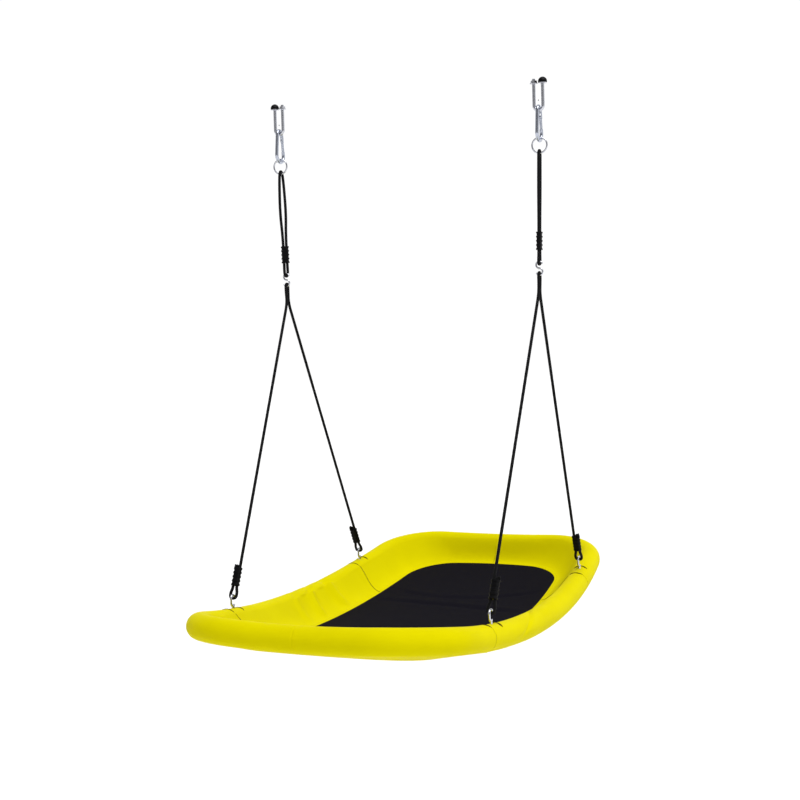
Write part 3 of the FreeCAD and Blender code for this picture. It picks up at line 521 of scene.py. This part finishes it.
class Outline:
    """A plan outline with bowed sides and ends: a quarter is three tangent arcs.

    bow_x is how far a side's middle stands out of its chord, bow_y an end's, and corner is the
    corner arc's radius. A place on the outline is a number from 0 to 12, from the middle of the
    +X side towards +Y: each quarter has three pieces, side, corner and end.
    """

    def __init__(self, half_x, half_y, bow_x, bow_y, corner):
        self.side_radius = (half_y ** 2 + bow_x ** 2) / (2 * bow_x)
        self.end_radius = (half_x ** 2 + bow_y ** 2) / (2 * bow_y)
        self.corner = corner
        self.side_centre = Vector((half_x - self.side_radius, 0))
        self.end_centre = Vector((0, half_y - self.end_radius))
        to_side = self.side_radius - corner
        to_end = self.end_radius - corner
        apart = self.end_centre - self.side_centre
        along = (to_side ** 2 - to_end ** 2 + apart.length ** 2) / (2 * apart.length)
        across = math.sqrt(to_side ** 2 - along ** 2)
        unit = apart.normalized()
        normal = Vector((-unit.y, unit.x))
        found = [self.side_centre + unit * along + normal * sign * across for sign in (-1, 1)]
        self.corner_centre = max(found, key=lambda p: p.x + p.y)
        from_side = self.corner_centre - self.side_centre
        from_end = self.corner_centre - self.end_centre
        self.side_angle = math.atan2(from_side.y, from_side.x)
        self.end_angle = math.atan2(from_end.y, from_end.x)

    def point(self, place):
        """The point at a place, and the outward direction there."""
        quadrant, rest = divmod(place % 12, 3)
        if quadrant % 2:
            rest = 3 - rest
        piece = min(int(rest), 2)
        arcs = (
            (self.side_centre, self.side_radius, 0.0, self.side_angle),
            (self.corner_centre, self.corner, self.side_angle, self.end_angle),
            (self.end_centre, self.end_radius, self.end_angle, math.pi / 2),
        )
        centre, radius, first, last = arcs[piece]
        angle = first + (last - first) * (rest - piece)
        sign_x = 1 if quadrant in (0, 3) else -1
        sign_y = 1 if quadrant in (0, 1) else -1
        outward = Vector((math.cos(angle) * sign_x, math.sin(angle) * sign_y, 0))
        spot = Vector((centre.x * sign_x, centre.y * sign_y, 0)) + outward * radius
        return spot, outward

    def side_share(self, y):
        """The place on the first side of its point at y, from 0 in the middle to 1."""
        return math.asin(y / self.side_radius) / self.side_angle


RIM = Outline(HALF_WIDTH, HALF_LENGTH, 0.050, 0.030, 0.180)
MAT = Outline(MAT_HALF_WIDTH, 0.650, 0.032, 0.032, 0.142)
FAR_SEAM = RIM.side_share(EYE_Y - SEAM_OFFSET)
NEAR_SEAM = RIM.side_share(EYE_Y + SEAM_OFFSET)
FAR_SLIT = RIM.side_share(EYE_Y + SLIT_OFFSET)
NEAR_SLIT = RIM.side_share(EYE_Y - SLIT_OFFSET)


def rim_point(place):
    """The middle of the rim's tube at a place: it curves up to the ends and dips in them."""
    spot, _ = RIM.point(place)
    rise = RIM_RISE * (spot.y / HALF_LENGTH) ** 2
    dip = RIM_DIP * ((spot.x / HALF_WIDTH) ** 2 - 1)
    return Vector((spot.x, spot.y, SEAT_Z + rise + dip))


def rim_ahead(place):
    """The way along the rim at a place, not of unit length."""
    return rim_point(place + 0.01) - rim_point(place - 0.01)


def across_tube(place):
    """The rim's outward direction at a place, and the one square to it and to the tube."""
    _, outward = RIM.point(place)
    up = rim_ahead(place).normalized().cross(outward)
    return outward, up if up.z > 0 else -up


def mat_height(y):
    """The height of the smooth mat, which curves up to the ends like the rim."""
    return SEAT_Z - MAT_DROP + MAT_RISE * (y / HALF_LENGTH) ** 2


# the cover's section: angles round the tube, from inwards over the top, where the cloth leaves it
LEAVE_TOP = math.radians(38)
LEAVE_LOW = math.radians(257)
LEAVING_RUN, ARRIVING_RUN = 0.07, 0.10
EDGE_THICK = 0.0032                     # of the border at the mat
LEAVE_SHARE = 0.35                      # the share, as cover_section says, at LEAVE_TOP
UNDER_SHARE = -3.0                      # a share for the whole underside
ROUND_ROWS, LOW_ROWS = 46, 14
# the share of the slope from the tube to the mat where a sleeve ends and a border begins
SLEEVE_END = 0.45
# the rows' shares, closer together at the mat's edge and at the sleeve's end
TOP_SHARES = (1.0, 0.993, 0.98, 0.96, 0.93, 0.89, 0.84, 0.79, 0.74, 0.69, 0.64, 0.59, 0.54, 0.49,
              0.46, 0.453, SLEEVE_END, 0.447, 0.44, 0.41, 0.36, 0.31, 0.26, 0.21, 0.16, 0.11, 0.055)
TOP_ROWS = len(TOP_SHARES)
SPLIT_TOP = TOP_SHARES.index(SLEEVE_END)
SPLIT_LOW = 5                           # the row underneath where the sleeve ends


def hermite(start, start_run, end, end_run, t):
    """A cubic from start to end that leaves and arrives along the two runs."""
    a = 2 * t ** 3 - 3 * t ** 2 + 1
    return (start * a + start_run * (t ** 3 - 2 * t ** 2 + t) + end * (1 - a)
            + end_run * (t ** 3 - t ** 2))


def slope_share(t):
    """The share of the whole cover at a share t of its slope."""
    return LEAVE_SHARE + (1 - LEAVE_SHARE) * t


def cover_section(place):
    """The cover's closed section at a place, as (spot, share) from the mat's edge round the tube.

    It rises from the mat to the tube's top, goes round the tube and comes back underneath.
    share is 0 at the tube's crown and 1 at the mat, and is negative beyond the crown.
    """
    centre = rim_point(place)
    outward, up = across_tube(place)
    edge, edge_out = MAT.point(place)
    edge.z = mat_height(edge.y)

    def on_tube(angle):
        return centre + (up * math.sin(angle) - outward * math.cos(angle)) * SLEEVE_R

    def run(angle):
        return up * math.cos(angle) + outward * math.sin(angle)

    section = []
    top = on_tube(LEAVE_TOP)
    for t in TOP_SHARES:
        spot = hermite(top, -run(LEAVE_TOP) * LEAVING_RUN, edge, -edge_out * ARRIVING_RUN, t)
        section.append((spot, slope_share(t)))
    for i in range(ROUND_ROWS):
        angle = LEAVE_TOP + (LEAVE_LOW - LEAVE_TOP) * i / ROUND_ROWS
        share = LEAVE_SHARE * (math.pi / 2 - angle) / (math.pi / 2 - LEAVE_TOP)
        section.append((on_tube(angle), share))
    low = on_tube(LEAVE_LOW)
    under = edge - Z_AXIS * EDGE_THICK
    for i in range(LOW_ROWS + 1):
        section.append((low.lerp(under, i / LOW_ROWS), UNDER_SHARE))
    return section


def bell(y, middle, width):
    """A bell of height 1 at the middle."""
    return math.exp(-((y - middle) / width) ** 2)


def smooth_step(low, high, x):
    """0 up to low, 1 from high on, and a soft rise between them."""
    t = min(1.0, max(0.0, (x - low) / (high - low)))
    return t * t * (3 - 2 * t)


LEFT_FOLDS = (
    # y at the crown and at the mat, depth, half width
    (0.074, -0.012, 0.0088, 0.017),
    (0.150, 0.142, 0.0098, 0.019),
    (-0.022, -0.100, 0.0036, 0.014),
)
RIDGE = 0.15                            # the swell beside a fold, as a share of its depth
RIGHT_FOLD_Y, RIGHT_FOLD_LEAN = -0.137, 0.19
RIGHT_FOLD_DEPTH, RIGHT_FOLD_WIDTH = 0.0045, 0.015
BROAD_WAVES, FINE_WAVES = 0.0007, 0.0002


def folds(place, spot, share):
    """How far the cloth stands out of its smooth shape, in metres."""
    on_left = 3 < place % 12 < 9
    out = 0.0
    if on_left and share > -0.3:
        fade = smooth_step(-0.3, 0.3, share) * (1 - smooth_step(0.70, 1.0, share))
        inward = max(0.0, share)
        for start, end, depth, width in LEFT_FOLDS:
            middle = start + (end - start) * inward ** 0.6
            out -= depth * fade * bell(spot.y, middle, width)
            out += RIDGE * depth * fade * bell(spot.y, middle - 2.4 * width, 1.5 * width)
    if not on_left and share < 0.2:
        middle = RIGHT_FOLD_Y + RIGHT_FOLD_LEAN * share
        fade = smooth_step(-0.9, -0.5, share)
        out -= RIGHT_FOLD_DEPTH * fade * bell(spot.y, middle, RIGHT_FOLD_WIDTH)
    broad = noise.noise(spot * 4.5)
    fine = noise.noise(spot * 15.0 + Vector((3.1, 0, 0)))
    return out + BROAD_WAVES * broad + FINE_WAVES * fine


SEAM_DEPTH, SEAM_WIDTH = 0.0010, 0.0018
PUCKER, PUCKER_REACH, PUCKER_RATE = 0.00045, 0.012, 21.0
SLIT_DEPTH, SLIT_WIDTH = 0.0028, 0.0016
SLIT_REACH = 0.02
LIP_HEIGHT, LIP_PLACE, LIP_WIDTH = 0.0011, 0.0045, 0.003


def seam_dent(along, share):
    """The groove at the end of a panel, and the small puckers that its stitching pulls."""
    pull = PUCKER * math.exp(-along / PUCKER_REACH) * math.sin(share * PUCKER_RATE)
    return pull - SEAM_DEPTH * bell(along, 0, SEAM_WIDTH)


def slit_dent(along, share):
    """A slit over the crown beside an eye hook: a sharp groove with a raised lip."""
    # only on the crown, where the share is near 0
    over = smooth_step(-0.30, -0.22, share) * (1 - smooth_step(0.20, 0.28, share))
    lip = LIP_HEIGHT * bell(along, LIP_PLACE, LIP_WIDTH)
    return over * (lip - SLIT_DEPTH * bell(along, 0, SLIT_WIDTH))


# the row of stitches along the mat's edge, 7% of the slope outside it
STITCH_ROW = TOP_SHARES.index(0.93)
STITCH_SHARE = slope_share(TOP_SHARES[STITCH_ROW])
STITCH_DENT, STITCH_DENT_WIDTH = 0.0008, 0.012
COVER_THICK = 0.0009
HEM_FROM = 0.97                         # the share where the cloth starts to lie smooth

PANELS = (
    # name, first and last place, the foam inside it, and the seam at its first place
    ("right_sleeve", -NEAR_SEAM, FAR_SEAM, ("right_foam",), "near_right_seam"),
    ("far_right_sleeve", FAR_SEAM, 3, ("far_foam",), "far_right_seam"),
    ("far_left_sleeve", 3, 6 - FAR_SEAM, (), "far_middle_seam"),
    ("left_sleeve", 6 - FAR_SEAM, 6 + NEAR_SEAM, ("left_foam",), "far_left_seam"),
    ("near_left_sleeve", 6 + NEAR_SEAM, 9, ("near_foam",), "near_left_seam"),
    ("near_right_sleeve", 9, 12 - NEAR_SEAM, (), "near_middle_seam"),
)
BORDERS = (
    ("right_border", -NEAR_SEAM, FAR_SEAM),
    ("far_border", FAR_SEAM, 6 - FAR_SEAM),
    ("left_border", 6 - FAR_SEAM, 6 + NEAR_SEAM),
    ("near_border", 6 + NEAR_SEAM, 12 - NEAR_SEAM),
)
# the slits' grooves; the last two are one place, so the near right groove is twice as deep
SLITS = (FAR_SLIT, 6 - FAR_SLIT, 6 + NEAR_SLIT, 12 - NEAR_SLIT, -NEAR_SLIT)
# offsets of the closest columns from a seam or slit, how far it keeps the others away, and the
# distance between those
FINE = (0.0008, 0.0016, 0.0026, 0.0040, 0.0060, 0.0085)
CLEAR = FINE[-1] + 0.002
COLUMN = 0.006
STEPS = 1200                            # of the table of lengths
STEPS_PER_PLACE = 100


def rim_lengths():
    """Distances along the rim at even places, to turn a distance into a place and back."""
    table = [0.0]
    for i in range(STEPS):
        ahead = rim_point((i + 1) / STEPS_PER_PLACE) - rim_point(i / STEPS_PER_PLACE)
        table.append(table[-1] + ahead.length)
    return table


LENGTHS = rim_lengths()


def distance_at(place):
    """How far along the rim a place is, with whole laps for places outside 0 to 12."""
    laps, rest = divmod(place, 12)
    i, share = divmod(rest * STEPS_PER_PLACE, 1)
    i = int(i)
    inside = LENGTHS[i] + (LENGTHS[min(i + 1, STEPS)] - LENGTHS[i]) * share
    return laps * LENGTHS[-1] + inside


def place_at(distance):
    """The place at a distance along the rim."""
    laps, rest = divmod(distance, LENGTHS[-1])
    low, high = 0, STEPS
    while high - low > 1:
        middle = (low + high) // 2
        if LENGTHS[middle] <= rest:
            low = middle
        else:
            high = middle
    share = (rest - LENGTHS[low]) / (LENGTHS[high] - LENGTHS[low])
    return laps * 12 + (low + share) / STEPS_PER_PLACE


def columns(first, last, dense):
    """Distances along a panel: about 6 mm apart, and closer at its ends and at each slit."""
    start, end = distance_at(first), distance_at(last)
    spots = [start, end] + [d for d in dense if start < d < end]
    found = set()
    for spot in spots:
        for offset in (0.0, *FINE):
            for value in (spot - offset, spot + offset):
                if start <= value <= end:
                    found.add(round(value, 6))
    count = round((end - start) / COLUMN)
    for i in range(count + 1):
        value = start + (end - start) * i / count
        if min(abs(value - spot) for spot in spots) > CLEAR:
            found.add(round(value, 6))
    return sorted(found)


def cover_column(distance, seams, slits):
    """The spots of one column of the cover, with its folds, grooves and dents.

    seams are the distances of the panel's two ends, and slits those of all the slits.
    """
    place = place_at(distance)
    section = cover_section(place)
    ahead = rim_ahead(place)
    spots = []
    for i, (spot, share) in enumerate(section):
        before = section[max(i - 1, 0)][0]
        after = section[min(i + 1, len(section) - 1)][0]
        normal = ahead.cross(after - before).normalized()
        round_tube = LEAVE_SHARE > share > UNDER_SHARE
        if round_tube and normal.dot(spot - rim_point(place)) < 0:
            normal = -normal
        stand = folds(place, spot, share) * (1 - smooth_step(HEM_FROM, 1.0, share))
        stand -= STITCH_DENT * bell(share, STITCH_SHARE, STITCH_DENT_WIDTH)
        along = min(abs(distance - seam) for seam in seams)
        stand += seam_dent(along, share)
        for slit in slits:
            if abs(distance - slit) < SLIT_REACH:
                stand += slit_dent(distance - slit, share)
        spots.append(spot + normal * stand)
    return spots


def strip(name, distances, grid, rows):
    """A piece of the cover from some rows of its columns, thickened inwards."""
    verts, uvs, faces = [], [], []
    for distance, column in zip(distances, grid):
        travelled = 0.0
        for i, row in enumerate(rows):
            if i:
                travelled += (column[row] - column[rows[i - 1]]).length
            verts.append(column[row])
            uvs.append((distance, travelled))
    count = len(rows)
    for i in range(len(distances) - 1):
        for j in range(count - 1):
            a, b = i * count + j, (i + 1) * count + j
            faces.append((a, b, b + 1, a + 1))
    return thicken(mesh_piece(name, verts, faces, uvs), COVER_THICK)


def cover_grid(first, last, slits):
    """The distances of a panel's columns along the rim, and the spots of each column."""
    distances = columns(first, last, slits)
    seams = (distances[0], distances[-1])
    return distances, [cover_column(d, seams, slits) for d in distances]


def finish_panel(piece, fabric, nodes):
    """Finishes a padded piece of the cover, which stands for some CAD nodes."""
    dress(piece, fabric)
    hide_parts(*nodes)
    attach(piece, "seat")


def add_cover():
    """The yellow cover: six sleeve panels round the foam, and four border strips to the mat.

    Returns the column of spots along each seam, by the seam's name.
    """
    fabric = yellow_fabric()
    thread = sewing_thread("stitch_thread", (0.42, 0.36, 0.001))
    slit_places = [distance_at(place % 12) for place in SLITS]
    slits = [d + lap * LENGTHS[-1] for d in slit_places for lap in (-1, 0, 1)]
    split_low = TOP_ROWS + ROUND_ROWS + SPLIT_LOW
    last_row = TOP_ROWS + ROUND_ROWS + LOW_ROWS
    sleeve_rows = list(range(SPLIT_TOP, split_low + 1))
    border_rows = list(range(split_low, last_row + 1)) + list(range(0, SPLIT_TOP + 1))
    seam_columns = {}
    for name, first, last, foams, seam in PANELS:
        distances, grid = cover_grid(first, last, slits)
        seam_columns[seam] = grid[0]
        piece = strip(name + "_cover", distances, grid, sleeve_rows)
        finish_panel(piece, fabric, (name, *foams))
    for name, first, last in BORDERS:
        distances, grid = cover_grid(first, last, slits)
        piece = strip(name + "_cover", distances, grid, border_rows)
        finish_panel(piece, fabric, (name,))
        add_stitches(name + "_stitches", [column[STITCH_ROW] for column in grid], thread)
    return seam_columns


STITCH_PITCH, THREAD_HALF = 0.0055, 0.0006
# how far along its pitch a stitch's four rings are, and their height in half threads
STITCH_RINGS = ((0.10, -0.8), (0.25, 0.9), (0.55, 0.9), (0.70, -0.8))


def add_stitches(name, line, finish):
    """A row of lockstitches: each is a short hump of thread that dives into the cloth."""
    spots = evenly(line, STITCH_PITCH)
    verts, faces = [], []
    for here, there in zip(spots, spots[1:]):
        ahead = there - here
        side = ahead.cross(Z_AXIS).normalized() * THREAD_HALF
        lift = side.cross(ahead).normalized() * THREAD_HALF
        first = len(verts)
        for share, height in STITCH_RINGS:
            centre = here + ahead * share + lift * height
            verts += [centre - side, centre + lift, centre + side, centre - lift]
        for ring in range(first, first + 12, 4):
            for j in range(4):
                k = (j + 1) % 4
                faces.append((ring + j, ring + k, ring + 4 + k, ring + 4 + j))
        faces.append((first + 3, first + 2, first + 1, first))
        faces.append(tuple(range(first + 12, first + 16)))
    stitches = mesh_piece(name, verts, faces)
    dress_trim(stitches, finish)


def dress_trim(piece, finish):
    """Finishes a thread of the cover, or the binding of a slit, whose dark colour is partly painted
    shadow of the slit's gap.
    """
    dress(piece, finish)
    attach(piece, "seat")


def on_cover(distance, angle, stand):
    """A point over the sleeve at a section angle, standing a little off the tube."""
    place = place_at(distance)
    outward, up = across_tube(place)
    round_tube = up * math.sin(angle) - outward * math.cos(angle)
    return rim_point(place) + round_tube * (SLEEVE_R + stand)


SLIT_FROM, SLIT_SWEEP = 52, 76          # degrees round the tube, the crown in the middle
SLIT_BOW = 0.004
SLIT_STAND, SLIT_SINK = 0.0004, 0.0022  # off the tube in the middle, and lower at the ends
SLIT_R = 0.0021
SLIT_STEPS = 24


def slit_line(distance, bow):
    """A slit's curve over the crown, bowed along the seat, with its ends in the cloth."""
    line = []
    for k in range(SLIT_STEPS + 1):
        turn = k / SLIT_STEPS
        angle = math.radians(SLIT_FROM + SLIT_SWEEP * turn)
        stand = SLIT_STAND - SLIT_SINK * (2 * turn - 1) ** 4
        line.append(on_cover(distance + bow * math.sin(math.pi * turn), angle, stand))
    return line


def add_slits():
    """A dark bound slit across the crown, in front of every eye hook and behind it: the binding's
    dark brown is partly painted shadow of the slit's gap.
    """
    # the slits' binding, coloured dark brown as the painted shadow in each slit's gap
    binding_and_painted_shadow = sewing_thread("slit_binding_and_painted_shadow", (0.040, 0.018, 0.002))
    for side, sign in SIDES:
        for end, end_sign in ENDS:
            for part, y, bow in (("front", end_sign * EYE_Y - SEAM_OFFSET, -SLIT_BOW),
                                 ("back", end_sign * EYE_Y + SLIT_OFFSET, SLIT_BOW)):
                share = RIM.side_share(abs(y))
                place = share if sign * y > 0 else -share
                place += 6 if sign < 0 else 0
                line = slit_line(distance_at(place), bow * sign)
                slit = tube_mesh(f"{end}_{side}_{part}_slit", line, SLIT_R, 8)
                dress_trim(slit, binding_and_painted_shadow)


def add_seam_threads(seam_columns):
    """A thread in the groove of each seam: dark beside the eye hooks, yellow at the two ends."""
    dark = sewing_thread("dark_thread", (0.050, 0.026, 0.002)), 0.0014
    pale = sewing_thread("yellow_thread", (0.46, 0.41, 0.001)), 0.0007
    first_row = 3                       # just clear of the mat
    for name, column in seam_columns.items():
        finish, radius = pale if "middle" in name else dark
        line = column[first_row:TOP_ROWS + ROUND_ROWS]
        thread = tube_mesh(name + "_thread", line, radius, 6)
        dress_trim(thread, finish)


# ---------------------------------------------------------------- the mat

MAT_WRINKLES = (
    # y in the middle of the mat, lean and bow towards its sides, depth, half width
    (0.235, -0.035, -0.010, 0.0042, 0.012),
    (0.314, 0.020, 0.100, 0.0028, 0.011),
    (-0.300, -0.035, 0.020, 0.0020, 0.012),
)
MAT_SLACK = 0.0016
MAT_THICK = 0.0026
MAT_EDGE_FROM = 0.93                    # the share of its half width where wrinkles fade out


def mat_wrinkles(x, y):
    """Long soft wrinkles across the mat, and the slack of the cloth, in metres."""
    out = 0.0
    across = x / MAT_HALF_WIDTH
    hold = max(0.0, 1 - across ** 4)
    for middle, lean, bow, depth, width in MAT_WRINKLES:
        line = middle + lean * across + bow * across ** 2
        out -= depth * hold * bell(y, line, width)
        out += 0.5 * depth * hold * bell(y, line + 2.2 * width, 1.4 * width)
    out += MAT_SLACK * noise.noise(Vector((x * 4.0, y * 7.0, 0.7))) * hold
    return out


def add_mat():
    """The black mesh mat, stretched inside the border."""
    columns_round, rows = 420, 74
    verts, uvs, faces = [], [], []
    for i in range(columns_round):
        edge, _ = MAT.point(12 * i / columns_round)
        for j in range(1, rows + 1):
            share = j / rows
            spot = edge * share
            fade = 1 - smooth_step(MAT_EDGE_FROM, 1.0, share)
            spot.z = mat_height(spot.y) + mat_wrinkles(spot.x, spot.y) * fade
            verts.append(spot)
            uvs.append((spot.x, spot.y))
    for i in range(columns_round):
        k = (i + 1) % columns_round
        for j in range(rows - 1):
            a, b = i * rows + j, k * rows + j
            faces.append((a, a + 1, b + 1, b))
    verts.append(Vector((0, 0, mat_height(0) + mat_wrinkles(0, 0))))
    uvs.append((0.0, 0.0))
    for i in range(columns_round):
        k = (i + 1) % columns_round
        faces.append((i * rows, k * rows, len(verts) - 1))
    mat = mesh_piece("seat_mat_cloth", verts, faces, uvs)
    solid = mat.modifiers.new("thickness", "SOLIDIFY")
    solid.thickness = MAT_THICK
    solid.offset = -1
    dress(mat, mat_fabric())
    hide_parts("seat_mat")
    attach(mat, "seat")


# ---------------------------------------------------------------- hardware

def dress_hardware():
    """Finishes for the CAD nodes that are seen as they are, by the ends of their names."""
    finishes = {
        ("u_bolt", "washers", "lock_nuts", "hook_nuts", "ring", "s_hook", "eye_hook", "tube",
         "spigots", "spring", "gate_pin"): bright_steel("zinc_plate", (0.62, 0.63, 0.68), 0.22),
        ("carabiner", "gate"): bright_steel("carabiner_plate", (0.50, 0.53, 0.61), 0.2),
        ("adjuster",): black_plastic("adjuster_nylon", 0.5),
        ("dome_nuts",): black_plastic("dome_cap_plastic", 0.35),
    }
    for name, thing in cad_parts.items():
        for endings, finish in finishes.items():
            if name.endswith(endings):
                dress(thing, finish)


# ---------------------------------------------------------------- floor and light

def levels(ramp, first, *others):
    """Greys along a colour ramp: the first at its start, and others as (position, grey)."""
    elements = ramp.color_ramp.elements
    elements.remove(elements[1])
    elements[0].color = (first, first, first, 1)
    for position, level in others:
        elements.new(position).color = (level, level, level, 1)


def add_floor():
    """A wide painted floor well below the seat, white further out and grey under the swing, where
    its grey is painted shade.
    """
    floor_z = -2.6
    reach = 60
    corners = [(-reach, -reach, floor_z), (reach, -reach, floor_z), (reach, reach, floor_z),
               (-reach, reach, floor_z)]
    floor = mesh_piece("floor", corners, [(0, 1, 2, 3)], smooth=False)
    shader = Shader("floor_paint_and_painted_shade", (0.95, 0.95, 0.95), 0.9, **{"Specular IOR Level": 0.0})
    place = shader.coordinates()
    away = shader.node("VectorMath")
    away.operation = "LENGTH"
    shader.tree.links.new(place, away.inputs[0])
    # painted shade: the floor is grey close under the swing and white further out, with noise on
    # the edge of the shade
    shade_spread = shader.math("ADD", away.outputs["Value"], shader.noise(place, 0.6))
    share = shader.math("MULTIPLY", shade_spread, 0.2)
    tones_with_painted_shade = shader.ramp(share, (0.50, 0.50, 0.51), (0.96, 0.96, 0.96), 0.15, 0.42)
    shader.set(shader.surface, **{"Base Color": tones_with_painted_shade})
    dress(floor, shader.material)


def add_sky():
    """A white studio sky that is greyer above the horizon's band and in front of the swing."""
    world = bpy.data.worlds.new("studio")
    world.use_nodes = True
    tree = world.node_tree
    direction = tree.nodes.new("ShaderNodeTexCoord")
    height = tree.nodes.new("ShaderNodeSeparateXYZ")
    sky = tree.nodes.new("ShaderNodeValToRGB")
    tree.links.new(direction.outputs["Generated"], height.inputs["Vector"])
    tree.links.new(height.outputs["Z"], sky.inputs["Fac"])
    turned = tree.nodes.new("ShaderNodeMapRange")
    turned.inputs["From Min"].default_value = -1
    tree.links.new(height.outputs["Y"], turned.inputs["Value"])
    round_about = tree.nodes.new("ShaderNodeValToRGB")
    tree.links.new(turned.outputs["Result"], round_about.inputs["Fac"])
    product = tree.nodes.new("ShaderNodeVectorMath")
    product.operation = "MULTIPLY"
    tree.links.new(sky.outputs["Color"], product.inputs[0])
    tree.links.new(round_about.outputs["Color"], product.inputs[1])
    tree.links.new(product.outputs["Vector"], tree.nodes["Background"].inputs["Color"])
    # by the direction's height: white to 21 degrees up, greyer, and white again overhead
    levels(sky, 1.03, (0.36, 1.03), (0.55, 0.42), (0.75, 0.55), (0.90, 1.0))
    # by its share of +Y, from -1 to 1: dim in front of the swing, full behind it
    levels(round_about, 0.25, (0.30, 0.35), (0.70, 1.0))
    bpy.context.scene.world = world


def add_lamp():
    """One very soft lamp from above, a little from the right and the front."""
    data = bpy.data.lights.new("key", "SUN")
    data.energy = 2.35
    data.angle = math.radians(50)
    shining = Vector((-0.38, 0.25, -1))
    lamp = link(bpy.data.objects.new("key", data))
    lamp.rotation_euler = shining.to_track_quat("-Z", "Y").to_euler()


add_camera()
add_ropes()
add_seam_threads(add_cover())
add_slits()
add_mat()
dress_hardware()
add_floor()
add_sky()
add_lamp()
bpy.context.scene.view_settings.view_transform = "Standard"
